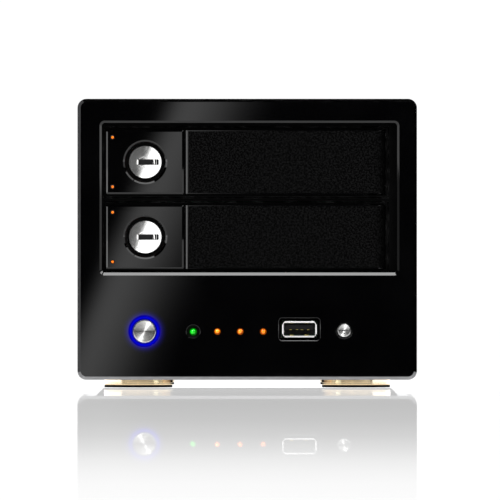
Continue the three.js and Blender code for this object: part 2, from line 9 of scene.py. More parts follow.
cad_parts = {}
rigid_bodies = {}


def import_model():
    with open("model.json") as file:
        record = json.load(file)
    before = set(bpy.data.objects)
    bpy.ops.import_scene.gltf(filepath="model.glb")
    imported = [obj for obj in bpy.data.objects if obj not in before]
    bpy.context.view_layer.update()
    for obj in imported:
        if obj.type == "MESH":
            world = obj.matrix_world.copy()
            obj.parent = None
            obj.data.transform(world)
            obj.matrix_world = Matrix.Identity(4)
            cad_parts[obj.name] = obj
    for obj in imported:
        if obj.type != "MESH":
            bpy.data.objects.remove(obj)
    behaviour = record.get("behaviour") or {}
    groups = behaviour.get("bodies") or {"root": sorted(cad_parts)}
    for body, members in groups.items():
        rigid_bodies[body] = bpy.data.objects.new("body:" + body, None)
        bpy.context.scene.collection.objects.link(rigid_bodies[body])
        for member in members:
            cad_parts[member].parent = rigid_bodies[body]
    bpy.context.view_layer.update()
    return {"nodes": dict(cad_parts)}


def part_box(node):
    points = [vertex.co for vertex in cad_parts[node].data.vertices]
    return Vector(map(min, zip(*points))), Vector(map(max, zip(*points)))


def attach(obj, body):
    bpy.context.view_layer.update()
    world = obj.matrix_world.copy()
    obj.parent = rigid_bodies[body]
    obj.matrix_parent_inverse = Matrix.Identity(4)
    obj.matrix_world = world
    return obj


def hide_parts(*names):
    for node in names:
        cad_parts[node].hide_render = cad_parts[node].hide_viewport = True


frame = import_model()
NODES = frame["nodes"]
MM = 0.001
Y0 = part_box("fascia")[0].y
scene = bpy.context.scene


def span(node):
    """A CAD node's box as x0, x1, d0, d1, z0, z1 in millimetres."""
    a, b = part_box(node)
    return (
        a.x / MM,
        b.x / MM,
        (a.y - Y0) / MM,
        (b.y - Y0) / MM,
        a.z / MM,
        b.z / MM,
    )


def mid(node):
    x0, x1, d0, d1, z0, z1 = span(node)
    return (x0 + x1) / 2, (d0 + d1) / 2, (z0 + z1) / 2


# ------------------------------------------------------------------ mesh helpers
def rr(x0, x1, z0, z1, r=0.0, inset=0.0, n=6):
    x0, x1, z0, z1 = x0 + inset, x1 - inset, z0 + inset, z1 - inset
    r = max(r - inset, 0.01)
    pts = []
    for cx, cz, a0 in (
        (x1 - r, z0 + r, -90),
        (x1 - r, z1 - r, 0),
        (x0 + r, z1 - r, 90),
        (x0 + r, z0 + r, 180),
    ):
        for i in range(n + 1):
            a = math.radians(a0 + 90 * i / n)
            pts.append((cx + r * math.cos(a), cz + r * math.sin(a)))
    return pts


def circ(x, z, r, n=96):
    return [
        (x + r * math.cos(2 * math.pi * i / n), z + r * math.sin(2 * math.pi * i / n))
        for i in range(n)
    ]


def merge(*geos):
    V, F = [], []
    for v, f in geos:
        k = len(V)
        V += v
        F += [tuple(i + k for i in face) for face in f]
    return V, F


def shell_geo(outer, holes=(), blind=()):
    """Rings of [(x, z)] at a depth, capped at both ends. holes go right through, blind ones have a floor."""
    V, F = [], []

    def strip(rings):
        ids = []
        for loop, d in rings:
            ids.append(list(range(len(V), len(V) + len(loop))))
            V.extend((x, d, z) for x, z in loop)
        for a, b in zip(ids, ids[1:]):
            n = len(a)
            for i in range(n):
                j = (i + 1) % n
                F.append((a[i], a[j], b[j], b[i]))
        return ids

    main = strip(outer)
    through = [strip(h) for h in holes]
    pits = [strip(h) for h in blind]

    def cap(loops):
        ids = [i for l in loops for i in l]
        pts = [[Vector((V[i][0], V[i][2], 0)) for i in l] for l in loops]
        for t in tessellate_polygon(pts):
            F.append(tuple(ids[k] for k in t))

    cap([main[0]] + [h[0] for h in through] + [h[0] for h in pits])
    cap([main[-1]] + [h[-1] for h in through])
    for h in pits:
        cap([h[-1]])
    return V, F


def rounded(loopf, d0, d1, b, seg=3, back=None):
    """Rings for a slab with rounded front and back edges. loopf(inset) gives its outline."""
    back = b if back is None else back
    s = 1 if d1 > d0 else -1
    rings = []
    for i in range(seg + 1):
        a = math.pi / 2 * i / seg
        rings.append((loopf(b * (1 - math.sin(a))), d0 + s * b * (1 - math.cos(a))))
    for i in range(seg, -1, -1):
        a = math.pi / 2 * i / seg
        rings.append((loopf(back * (1 - math.sin(a))), d1 - s * back * (1 - math.cos(a))))
    return rings


def rbox(x0, x1, d0, d1, z0, z1, b=0.2, seg=2, r=None):
    r = b if r is None else r
    return shell_geo(rounded(lambda t: rr(x0, x1, z0, z1, r, t, 3), d0, d1, b, seg))


def lathe_geo(profile, c, axis="y", n=96, closed=False):
    V, F, rings = [], [], []
    for r, t in profile:
        ids = []
        for i in range(1 if r < 1e-6 else n):
            a = 2 * math.pi * i / n
            u, v = r * math.cos(a), r * math.sin(a)
            V.append((c[0] + u, t, c[1] + v) if axis == "y" else (c[0] + u, c[1] + v, t))
            ids.append(len(V) - 1)
        rings.append(ids)
    pairs = list(zip(rings, rings[1:]))
    if closed:
        pairs.append((rings[-1], rings[0]))
    for a, b in pairs:
        for i in range(n):
            j = (i + 1) % n
            if len(a) == 1 and len(b) == 1:
                continue
            if len(a) == 1:
                F.append((a[0], b[j], b[i]))
            elif len(b) == 1:
                F.append((a[i], a[j], b[0]))
            else:
                F.append((a[i], a[j], b[j], b[i]))
    return V, F


def soften(points, r, n=4, closed=False):
    """Rounds the corners of a profile."""
    out = []
    count = len(points)
    for i, p in enumerate(points):
        if not closed and i in (0, count - 1):
            out.append(p)
            continue
        a, b, c = (
            Vector(points[i - 1]),
            Vector(p),
            Vector(points[(i + 1) % count]),
        )
        la, lc = (a - b).length, (c - b).length
        t = min(r, 0.45 * la, 0.45 * lc)
        s, e = b + (a - b) * (t / la), b + (c - b) * (t / lc)
        for k in range(n + 1):
            w = k / n
            q = s * (1 - w) ** 2 + b * 2 * w * (1 - w) + e * w * w
            out.append((q.x, q.y))
    return out


def tube_geo(points, r, n=10, closed=False):
    V, F = [], []
    P = [Vector(p) for p in points]
    count = len(P)
    up = None
    for i, p in enumerate(P):
        a = P[i - 1] if closed or i else P[0]
        b = P[(i + 1) % count] if closed or i < count - 1 else P[-1]
        t = (b - a).normalized()
        if up is None:
            up = t.orthogonal().normalized()
        up = (up - t * up.dot(t)).normalized()
        side = t.cross(up)
        for k in range(n):
            w = 2 * math.pi * k / n
            V.append(tuple(p + (up * math.cos(w) + side * math.sin(w)) * r))
    for i in range(count if closed else count - 1):
        j = (i + 1) % count
        for k in range(n):
            m = (k + 1) % n
            F.append((i * n + k, i * n + m, j * n + m, j * n + k))
    if not closed:
        F.append(tuple(range(n)))
        F.append(tuple((count - 1) * n + k for k in range(n)))
    return V, F


def prism_geo(poly, a0, a1, axis="z"):
    """A closed polygon run along an axis: poly is (x, d) for z, (x, z) for y and (d, z) for x."""
    n = len(poly)
    V = []
    for t in (a0, a1):
        for u, v in poly:
            V.append({"z": (u, v, t), "y": (u, t, v), "x": (t, u, v)}[axis])
    F = [(i, (i + 1) % n, n + (i + 1) % n, n + i) for i in range(n)]
    F.append(tuple(range(n)))
    F.append(tuple(range(n, 2 * n)))
    return V, F


def make(name, geo, mat, body, replaces=(), sharp=32, bevel=0.0, segments=2, weighted=True):
    V, F = geo
    me = bpy.data.meshes.new(name)
    me.from_pydata([(x * MM, Y0 + d * MM, z * MM) for x, d, z in V], [], F)
    bm = bmesh.new()
    bm.from_mesh(me)
    bmesh.ops.remove_doubles(bm, verts=bm.verts, dist=2e-7)
    bmesh.ops.recalc_face_normals(bm, faces=bm.faces)
    for f in bm.faces:
        f.smooth = True
    bm.to_mesh(me)
    bm.free()
    o = bpy.data.objects.new(name, me)
    scene.collection.objects.link(o)
    o.data.materials.append(mat)
    if bevel:
        m = o.modifiers.new("edge", "BEVEL")
        m.width = bevel * MM
        m.segments = segments
        m.limit_method = "ANGLE"
        m.angle_limit = math.radians(40)
        m.harden_normals = False
        bake(o)
    o.data.set_sharp_from_angle(angle=math.radians(sharp))
    if weighted:
        m = o.modifiers.new("normals", "WEIGHTED_NORMAL")
        m.keep_sharp = True
    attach(o, body)
    if replaces:
        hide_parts(*([replaces] if isinstance(replaces, str) else replaces))
    return o


def bake(o):
    """Applies the modifiers to the mesh."""
    bpy.context.view_layer.update()
    me = bpy.data.meshes.new_from_object(
        o.evaluated_get(bpy.context.evaluated_depsgraph_get())
    )
    o.modifiers.clear()
    o.data = me
    for p in me.polygons:
        p.use_smooth = True


def carve(o, *geos):
    """Cuts closed shapes out of a mesh."""
    for i, geo in enumerate(geos):
        me = bpy.data.meshes.new("cutter")
        me.from_pydata([(x * MM, Y0 + d * MM, z * MM) for x, d, z in geo[0]], [], geo[1])
        bm = bmesh.new()
        bm.from_mesh(me)
        bmesh.ops.remove_doubles(bm, verts=bm.verts, dist=2e-7)
        bmesh.ops.recalc_face_normals(bm, faces=bm.faces)
        bm.to_mesh(me)
        bm.free()
        c = bpy.data.objects.new("cutter", me)
        scene.collection.objects.link(c)
        m = o.modifiers.new("cut", "BOOLEAN")
        m.object = c
        m.operation = "DIFFERENCE"
        m.solver = "EXACT"
        keep = [x for x in o.modifiers if x != m]
        for x in keep:
            x.show_viewport = False
        bpy.context.view_layer.update()
        new = bpy.data.meshes.new_from_object(
            o.evaluated_get(bpy.context.evaluated_depsgraph_get())
        )
        o.modifiers.remove(m)
        for x in keep:
            x.show_viewport = True
        o.data = new
        bpy.data.objects.remove(c)
    for p in o.data.polygons:
        p.use_smooth = True
    o.data.set_sharp_from_angle(angle=math.radians(32))


# ------------------------------------------------------------------ material helpers
class Graph:
    def __init__(self, name):
        self.m = bpy.data.materials.new(name)
        self.m.use_nodes = True
        self.t = self.m.node_tree
        self.t.nodes.clear()
        self.out = self.t.nodes.new("ShaderNodeOutputMaterial")
        self.p = self.t.nodes.new("ShaderNodeBsdfPrincipled")
        self.t.links.new(self.p.outputs[0], self.out.inputs[0])
        self.co = self.t.nodes.new("ShaderNodeTexCoord").outputs["Object"]

    def link(self, a, b):
        self.t.links.new(a, b)

    def put(self, socket, v):
        if isinstance(v, bpy.types.NodeSocket):
            self.t.links.new(v, socket)
        else:
            socket.default_value = v

    def noise(self, scale, detail=2.0, rough=0.5, vec=None, warp=0.0):
        n = self.t.nodes.new("ShaderNodeTexNoise")
        n.inputs["Scale"].default_value = scale
        n.inputs["Detail"].default_value = detail
        n.inputs["Roughness"].default_value = rough
        n.inputs["Distortion"].default_value = warp
        self.link(self.co if vec is None else vec, n.inputs["Vector"])
        return n.outputs["Fac"]

    def cells(self, scale, feature="F1", vec=None, what="Distance"):
        n = self.t.nodes.new("ShaderNodeTexVoronoi")
        n.feature = feature
        n.inputs["Scale"].default_value = scale
        self.link(self.co if vec is None else vec, n.inputs["Vector"])
        return n.outputs[what]

    def stretch(self, x, y, z):
        n = self.t.nodes.new("ShaderNodeMapping")
        n.inputs["Scale"].default_value = (x, y, z)
        self.link(self.co, n.inputs["Vector"])
        return n.outputs[0]

    def fit(self, v, a, b, c, d, smooth=False):
        n = self.t.nodes.new("ShaderNodeMapRange")
        if smooth:
            n.interpolation_type = "SMOOTHSTEP"
        for k, x in zip((0, 1, 2, 3, 4), (v, a, b, c, d)):
            self.put(n.inputs[k], x)
        return n.outputs[0]

    def math(self, op, a, b=0.0):
        n = self.t.nodes.new("ShaderNodeMath")
        n.operation = op
        self.put(n.inputs[0], a)
        self.put(n.inputs[1], b)
        return n.outputs[0]

    def mix(self, f, a, b):
        n = self.t.nodes.new("ShaderNodeMix")
        n.data_type = "RGBA"
        self.put(n.inputs[0], f)
        self.put(n.inputs[6], a if isinstance(a, bpy.types.NodeSocket) else (*a, 1))
        self.put(n.inputs[7], b if isinstance(b, bpy.types.NodeSocket) else (*b, 1))
        return n.outputs[2]

    def split(self, v):
        n = self.t.nodes.new("ShaderNodeSeparateXYZ")
        self.link(v, n.inputs[0])
        return n.outputs

    def around(self, x, z):
        """Distance in metres from a line along Y through x, z."""
        s = self.split(self.co)
        dx = self.math("SUBTRACT", s[0], x)
        dz = self.math("SUBTRACT", s[2], z)
        return self.math(
            "SQRT",
            self.math("ADD", self.math("MULTIPLY", dx, dx), self.math("MULTIPLY", dz, dz)),
        )

    def edges(self, radius=0.0004):
        """About 1 on sharp edges and 0 elsewhere."""
        b = self.t.nodes.new("ShaderNodeBevel")
        b.samples = 4
        b.inputs["Radius"].default_value = radius
        g = self.t.nodes.new("ShaderNodeNewGeometry")
        d = self.t.nodes.new("ShaderNodeVectorMath")
        d.operation = "DOT_PRODUCT"
        self.link(b.outputs[0], d.inputs[0])
        self.link(g.outputs["Normal"], d.inputs[1])
        return self.fit(d.outputs["Value"], 0.995, 0.9, 0.0, 1.0)

    def bump(self, h, distance, strength=1.0, normal=None):
        n = self.t.nodes.new("ShaderNodeBump")
        n.inputs["Distance"].default_value = distance
        n.inputs["Strength"].default_value = strength
        self.link(h, n.inputs["Height"])
        if normal is not None:
            self.link(normal, n.inputs["Normal"])
        return n.outputs[0]

    def set(self, **kw):
        names = {
            "color": "Base Color",
            "rough": "Roughness",
            "metal": "Metallic",
            "normal": "Normal",
            "ior": "IOR",
            "coat": "Coat Weight",
            "coat_rough": "Coat Roughness",
            "aniso": "Anisotropic",
            "tangent": "Tangent",
            "turn": "Anisotropic Rotation",
            "glow": "Emission Color",
            "glow_strength": "Emission Strength",
            "spec": "Specular IOR Level",
            "tint": "Specular Tint",
            "trans": "Transmission Weight",
            "subsurface": "Subsurface Weight",
        }
        for k, v in kw.items():
            s = self.p.inputs[names[k]]
            if isinstance(v, tuple) and len(v) == 3 and s.type == "RGBA":
                v = (*v, 1)
            self.put(s, v)
        return self


MATS = {}

POWER_X, _, POWER_Z = mid("power_button")
RING_R = (span("power_ring")[1] - span("power_ring")[0]) / 2


def gloss_black():
    g = Graph("gloss_black")
    spots = g.noise(45, 3)
    fine = g.noise(2600, 2)
    g.set(
        color=g.mix(g.fit(spots, 0.3, 0.7, 0, 1), (0.0004, 0.0004, 0.0005), (0.0009, 0.0009, 0.001)),
        rough=g.math("ADD", g.fit(spots, 0.3, 0.7, 0.015, 0.035), g.fit(fine, 0.62, 0.8, 0, 0.03)),
        ior=1.5,
        normal=g.bump(g.noise(55, 1), 0.0000012),
    )
    r = g.around(POWER_X * MM, POWER_Z * MM)
    # painted blue glow halo on the black face round the power ring, falling off with the radius; the face itself is no
    # lamp
    ramp = g.t.nodes.new("ShaderNodeValToRGB")
    g.link(g.fit(r, 0.006, 0.0094, 0.0, 1.0), ramp.inputs[0])
    painted_halo_falloff = [(6.0, 0.31), (6.24, 0.297), (6.48, 0.221), (6.72, 0.157), (6.96, 0.113), (7.2, 0.081), (7.44, 0.057), (7.68, 0.037), (7.92, 0.025), (8.16, 0.016), (8.4, 0.009), (8.64, 0.005), (8.88, 0.0026), (9.4, 0.0)]
    el = ramp.color_ramp.elements
    while len(el) > 1:
        el.remove(el[-1])
    el[0].position = 0.0
    el[0].color = (1, 1, 1, 1)
    for rad, v in painted_halo_falloff[1:]:
        el.new((rad - 6.0) / 3.4).color = (v / 0.31,) * 3 + (1,)
    # the painted halo's blue emission, its strength taken from the ramp
    g.set(glow=(0.011, 0.004, 0.31), glow_strength=ramp.outputs[0])
    return g.m


def edge_polish():
    g = Graph("gloss_black_edge")
    fine = g.noise(1800, 2, vec=g.stretch(0.15, 1, 0.15))
    g.set(
        color=g.mix(g.fit(fine, 0.35, 0.65, 0, 1), (0.19, 0.19, 0.195), (0.23, 0.23, 0.235)),
        metal=1.0,
        rough=g.fit(fine, 0.3, 0.7, 0.06, 0.13),
        normal=g.bump(fine, 0.000002, 0.4),
    )
    return g.m


def satin_black():
    g = Graph("satin_black")
    grain = g.noise(3200, 2, 0.6)
    broad = g.noise(60, 3)
    worn = g.math("MULTIPLY", g.edges(0.0003), g.fit(g.noise(400, 3), 0.45, 0.7, 0, 1))
    base = g.mix(g.fit(broad, 0.3, 0.7, 0, 1), (0.0003, 0.0003, 0.0003), (0.0009, 0.0009, 0.001))
    g.set(
        color=g.mix(worn, base, (0.05, 0.05, 0.05)),
        rough=g.math("ADD", g.fit(broad, 0.3, 0.7, 0.34, 0.46), g.fit(grain, 0.3, 0.7, -0.03, 0.05)),
        normal=g.bump(grain, 0.00003, 0.5),
        spec=0.05,
    )
    return g.m


def handle_grain():
    g = Graph("handle_mesh")
    grain = g.noise(1500, 3, 0.65)
    pores = g.cells(1350, "SMOOTH_F1")
    h = g.math("ADD", g.math("MULTIPLY", grain, 0.7), g.math("MULTIPLY", pores, 0.6))
    fleck = g.noise(1500, 2, 0.7)
    # painted shade: the facing's colour darkens towards its right end, where the grain turns round the knuckle
    painted_knuckle_shade = g.fit(g.split(g.co)[0], 0.0505, 0.0552, 1.0, 0.25)  # painted shade where the facing turns round the knuckle
    g.set(
        color=g.mix(g.math("MULTIPLY", g.fit(fleck, 0.47, 0.57, 0, 1), painted_knuckle_shade), (0.0, 0.0, 0.0), (0.0044, 0.0044, 0.0045)),
        rough=g.fit(grain, 0.3, 0.7, 0.58, 0.78),
        normal=g.bump(h, 0.0004, 0.55),
        spec=0.03,
    )
    return g.m


def cover_metal():
    g = Graph("cover_metal")
    peel = g.noise(1400, 2, 0.55)
    broad = g.noise(25, 3)
    worn = g.math("MULTIPLY", g.edges(0.0004), g.fit(g.noise(260, 4), 0.5, 0.72, 0, 0.8))
    base = g.mix(g.fit(broad, 0.3, 0.7, 0, 1), (0.0095, 0.0095, 0.01), (0.0115, 0.0115, 0.012))
    g.set(
        color=g.mix(worn, base, (0.22, 0.22, 0.22)),
        metal=0.0,
        rough=g.math("ADD", g.fit(broad, 0.3, 0.7, 0.4, 0.425), g.fit(peel, 0.3, 0.7, -0.04, 0.06)),
        coat=0.08,
        coat_rough=0.3,
        spec=0.35,
        normal=g.bump(peel, 0.00006, 0.6),
    )
    return g.m


def zinc():
    g = Graph("zinc_sheet")
    flake = g.cells(160, "F1", what="Color")
    grey = g.split(flake)[0]
    fine = g.noise(1800, 2)
    worn = g.edges(0.0003)
    base = g.mix(grey, (0.38, 0.39, 0.4), (0.6, 0.61, 0.62))
    g.set(
        color=g.mix(worn, base, (0.72, 0.72, 0.72)),
        metal=1.0,
        rough=g.math("ADD", g.fit(grey, 0, 1, 0.28, 0.46), g.fit(fine, 0.3, 0.7, -0.04, 0.04)),
        normal=g.bump(g.math("ADD", grey, g.math("MULTIPLY", fine, 0.3)), 0.00002, 0.4),
    )
    return g.m


def polished():
    g = Graph("polished_metal")
    scratch = g.noise(700, 3, 0.6, vec=g.stretch(3.0, 0.4, 0.25))
    broad = g.noise(200, 2)
    g.set(
        color=g.mix(g.fit(broad, 0.3, 0.7, 0, 1), (0.86, 0.86, 0.85), (0.94, 0.94, 0.93)),
        metal=1.0,
        rough=g.math("ADD", g.fit(broad, 0.3, 0.7, 0.07, 0.11), g.fit(scratch, 0.55, 0.75, 0, 0.05)),
        normal=g.bump(scratch, 0.000002, 0.5),
    )
    return g.m


def turned(name, x, z):
    g = Graph(name)
    r = g.around(x * MM, z * MM)
    ring = g.math("SINE", g.math("MULTIPLY", r, 2 * math.pi / 0.00011))
    rag = g.noise(6000, 2)
    h = g.math("ADD", ring, g.math("MULTIPLY", rag, 0.8))
    t = g.t.nodes.new("ShaderNodeTangent")
    t.direction_type = "RADIAL"
    t.axis = "Y"
    g.set(
        color=g.mix(g.fit(rag, 0.3, 0.7, 0, 1), (0.78, 0.78, 0.77), (0.92, 0.92, 0.9)),
        metal=1.0,
        rough=g.fit(rag, 0.3, 0.7, 0.19, 0.22),
        aniso=1.0,
        turn=0.25,
        tangent=t.outputs[0],
        normal=g.bump(h, 0.0000015, 0.5),
    )
    return g.m


def champagne():
    g = Graph("champagne_metal")
    line = g.noise(1500, 3, 0.6, vec=g.stretch(0.03, 0.03, 2.2))
    broad = g.noise(120, 2)
    g.set(
        color=g.mix(g.fit(broad, 0.3, 0.7, 0, 1), (0.7, 0.53, 0.31), (0.78, 0.62, 0.39)),
        metal=1.0,
        rough=g.fit(line, 0.3, 0.7, 0.13, 0.2),
        normal=g.bump(line, 0.000006, 0.5),
    )
    return g.m


def rubber():
    g = Graph("foot_rubber")
    fine = g.noise(2500, 3, 0.6)
    g.set(
        color=g.mix(g.fit(fine, 0.35, 0.65, 0, 1), (0.001, 0.001, 0.001), (0.004, 0.004, 0.004)),
        rough=g.fit(fine, 0.3, 0.7, 0.7, 0.9),
        spec=0.05,
        normal=g.bump(fine, 0.00008, 0.6),
    )
    return g.m


def board():
    g = Graph("circuit_board")
    b = g.t.nodes.new("ShaderNodeTexBrick")
    g.link(g.stretch(1, 1, 1), b.inputs["Vector"])
    b.inputs["Scale"].default_value = 420
    b.inputs["Mortar Size"].default_value = 0.07
    b.offset = 0.37
    line = b.outputs["Fac"]
    pads = g.fit(g.cells(330), 0.16, 0.12, 0, 1)
    fine = g.noise(1500, 2)
    green = g.mix(line, (0.006, 0.075, 0.028), (0.012, 0.15, 0.055))
    g.set(
        color=g.mix(pads, green, (0.62, 0.58, 0.48)),
        metal=g.math("MULTIPLY", pads, 0.9),
        rough=g.fit(fine, 0.3, 0.7, 0.26, 0.42),
        normal=g.bump(g.math("ADD", line, pads), 0.00003, 0.6),
    )
    return g.m


def plastic():
    g = Graph("black_plastic")
    fine = g.noise(2200, 3, 0.6)
    broad = g.noise(70, 2)
    g.set(
        color=g.mix(g.fit(broad, 0.3, 0.7, 0, 1), (0.011, 0.011, 0.012), (0.021, 0.021, 0.023)),
        rough=g.math("ADD", g.fit(broad, 0.3, 0.7, 0.42, 0.52), g.fit(fine, 0.3, 0.7, -0.04, 0.06)),
        normal=g.bump(fine, 0.00004, 0.6),
    )
    return g.m


def casting():
    g = Graph("cast_metal")
    fine = g.noise(1600, 4, 0.6)
    g.set(
        color=g.mix(g.fit(fine, 0.3, 0.7, 0, 1), (0.3, 0.3, 0.305), (0.46, 0.46, 0.465)),
        metal=0.85,
        rough=g.fit(fine, 0.3, 0.7, 0.42, 0.6),
        normal=g.bump(fine, 0.00008, 0.7),
    )
    return g.m


def lid():
    g = Graph("disk_lid_metal")
    line = g.noise(900, 3, 0.6, vec=g.stretch(0.05, 2.5, 1))
    g.set(
        color=g.mix(g.fit(line, 0.3, 0.7, 0, 1), (0.24, 0.24, 0.245), (0.32, 0.32, 0.325)),
        metal=1.0,
        rough=g.fit(line, 0.3, 0.7, 0.4, 0.5),
        normal=g.bump(line, 0.00001, 0.5),
    )
    return g.m


def heatsink():
    g = Graph("heatsink_metal")
    line = g.noise(1200, 3, 0.6, vec=g.stretch(1, 0.06, 1))
    g.set(
        color=g.mix(g.fit(line, 0.3, 0.7, 0, 1), (0.03, 0.032, 0.036), (0.07, 0.073, 0.08)),
        metal=0.8,
        rough=g.fit(line, 0.3, 0.7, 0.3, 0.45),
        normal=g.bump(line, 0.00002, 0.5),
    )
    return g.m


def cable():
    g = Graph("cable_jacket")
    s = g.split(g.co)
    rib = g.math("SINE", g.math("MULTIPLY", s[0], 2 * math.pi / 0.00127))
    fine = g.noise(1800, 2)
    g.set(
        color=g.mix(g.fit(rib, -1, 1, 0, 1), (0.05, 0.05, 0.052), (0.11, 0.11, 0.115)),
        rough=g.fit(fine, 0.3, 0.7, 0.45, 0.6),
        normal=g.bump(rib, 0.0002, 0.6),
    )
    return g.m


def gold():
    g = Graph("contact_gold")
    fine = g.noise(2400, 3)
    g.set(
        color=g.mix(g.fit(fine, 0.3, 0.7, 0, 1), (0.42, 0.34, 0.08), (0.58, 0.47, 0.13)),
        metal=1.0,
        rough=g.fit(fine, 0.3, 0.7, 0.18, 0.32),
        normal=g.bump(fine, 0.00001, 0.4),
    )
    return g.m


def lens(name, deep, bright, strength, cloud=900):
    g = Graph(name)
    n = g.noise(cloud, 2)
    face = g.t.nodes.new("ShaderNodeLayerWeight")
    face.inputs["Blend"].default_value = 0.35
    g.set(
        color=g.mix(g.fit(n, 0.3, 0.7, 0, 1), deep, bright),
        rough=g.fit(n, 0.3, 0.7, 0.12, 0.22),
        glow=g.mix(g.fit(face.outputs["Facing"], 0.0, 0.2, 0, 1), bright, deep),
        glow_strength=strength,
        normal=g.bump(n, 0.00001, 0.3),
    )
    return g.m


def ring_light():
    g = Graph("blue_lens")
    r = g.around(POWER_X * MM, POWER_Z * MM)
    inner = g.fit(r, 0.0047, 0.0054, 0.25, 1.0, True)
    outer = g.fit(r, 0.0056, 0.0062, 1.0, 0.5, True)
    n = g.noise(260, 2)
    k = g.math("MULTIPLY", g.math("MULTIPLY", inner, outer), g.fit(n, 0.3, 0.7, 0.5, 0.58))
    g.set(
        spec=0.01,
        color=g.mix(n, (0.0005, 0.0005, 0.03), (0.001, 0.001, 0.06)),
        rough=g.fit(n, 0.3, 0.7, 0.22, 0.35),
        glow=(0.0, 0.0, 1.0),
        glow_strength=k,
        normal=g.bump(g.noise(2000, 2), 0.00001, 0.3),
    )
    return g.m


M = {
    "gloss_black": gloss_black(),
    "edge": edge_polish(),
    "satin_black": satin_black(),
    "handle_mesh": handle_grain(),
    "cover_metal": cover_metal(),
    "zinc_sheet": zinc(),
    "polished_metal": polished(),
    "champagne_metal": champagne(),
    "foot_rubber": rubber(),
    "circuit_board": board(),
    "black_plastic": plastic(),
    "cast_metal": casting(),
    "disk_lid_metal": lid(),
    "heatsink_metal": heatsink(),
    "cable_jacket": cable(),
    "gold": gold(),
    "blue_lens": ring_light(),
    "green_lens": lens("green_lens", (0.0, 0.02, 0.0), (0.0, 0.46, 0.006), 0.85),
    "amber_lens": lens("amber_lens", (0.06, 0.004, 0.0), (0.9, 0.19, 0.002), 0.8),
    "port_lamp": lens("port_lamp", (0.02, 0.07, 0.0), (0.09, 0.2, 0.02), 0.05),
}

# ------------------------------------------------------------------ fascia
FX0, FX1, _, FD1, FZ0, FZ1 = span("fascia")
LAMP = {n: mid(n) for n in ("status_lamp", "activity_lamp_1", "activity_lamp_2", "activity_lamp_3")}
COPY_X, _, COPY_Z = mid("copy_button")
USB_X, _, USB_Z = mid("front_usb_shell")
SX0, SX1, SD0, SD1, SZ0, SZ1 = span("bay_surround")
# the window sits in the middle of its surround, 3.3 mm in from the surround's edges
WX0, WX1, WZ0, WZ1 = SX0 + 3.3, SX1 - 3.3, SZ0 + 3.1, SZ1 - 3.2


def window(t):
    return rr(WX0 - t, WX1 + t, WZ0 - 1.35 * t, WZ1 + t, 1.4 + t * 0.7, 0, 10)


def bored(x, z, steps, n=96):
    return [(circ(x, z, r, n), d) for r, d in steps]


def build_fascia():
    body = lambda t: rr(FX0, FX1, FZ0, FZ1, 3.6, t, 12)
    cavity = rr(FX0 + 2.0, FX1 - 2.0, FZ0 + 2.0, FZ1 - 2.0, 1.6, 0, 12)
    outer = [
        (body(1.25), 0.0),
        (body(0.0), 1.25),
        (body(0.0), FD1 - 0.3),
        (body(0.3), FD1),
        (cavity, FD1),
        (cavity, 4.0),
    ]
    holes = [
        [(window(0.85), 0.0), (window(0.0), 0.5), (window(0.0), 4.0)],
        bored(POWER_X, POWER_Z, [(RING_R - 0.85, 0.0), (RING_R - 1.15, 0.28), (RING_R - 1.15, 4.0)]),
        bored(*LAMP["status_lamp"][::2], [(2.9, 0.0), (2.75, 0.058), (1.5, 1.0), (1.42, 1.2), (1.42, 4.0)], 64),
        *[
            bored(*LAMP["activity_lamp_%d" % i][::2], [(1.36, 0.0), (1.25, 0.11), (1.25, 4.0)], 48)
            for i in (1, 2, 3)
        ],
        bored(COPY_X, COPY_Z, [(3.5, 0.0), (3.36, 0.1), (2.95, 0.5), (2.95, 4.0)]),
        [
            (rr(USB_X - 8.45, USB_X + 8.45, USB_Z - 4.7, USB_Z + 4.7, 1.55, 0, 8), 0.0),
            (rr(USB_X - 8.34, USB_X + 8.34, USB_Z - 4.59, USB_Z + 4.59, 1.5, 0, 8), 0.042),
            (rr(USB_X - 8.27, USB_X + 8.27, USB_Z - 4.52, USB_Z + 4.52, 1.45, 0, 8), 0.084),
            (rr(USB_X - 8.22, USB_X + 8.22, USB_Z - 4.47, USB_Z + 4.47, 1.4, 0, 8), 0.17),
            (rr(USB_X - 8.22, USB_X + 8.22, USB_Z - 4.47, USB_Z + 4.47, 1.4, 0, 8), 1.4),
            (rr(USB_X - 7.5, USB_X + 7.5, USB_Z - 3.5, USB_Z + 3.5, 0.8, 0, 8), 1.4),
            (rr(USB_X - 7.5, USB_X + 7.5, USB_Z - 3.5, USB_Z + 3.5, 0.8, 0, 8), 4.0),
        ],
    ]
    o = make("fascia_shell", shell_geo(outer, holes), M["gloss_black"], "housing", "fascia", sharp=15, weighted=False)
    o.data.materials.append(M["edge"])
    for p in o.data.polygons:  # the diamond-cut outer edge
        c, n = p.center, p.normal
        d = (c.y - Y0) / MM
        out = min(c.x / MM - FX0, FX1 - c.x / MM, c.z / MM - FZ0, FZ1 - c.z / MM)
        if 0.2 < d < 1.2 and out < 2.6 and -0.9 < n.y < -0.5:
            p.material_index = 1
    o.data.materials.append(M["satin_black"])
    sx, _, sz = LAMP["status_lamp"]
    for p in o.data.polygons:  # the status lamp's blackened cone
        c = p.center
        if (c.y - Y0) / MM > 0.1 and math.hypot(c.x / MM - sx, c.z / MM - sz) < 2.8:
            p.material_index = 2
    return o


build_fascia()


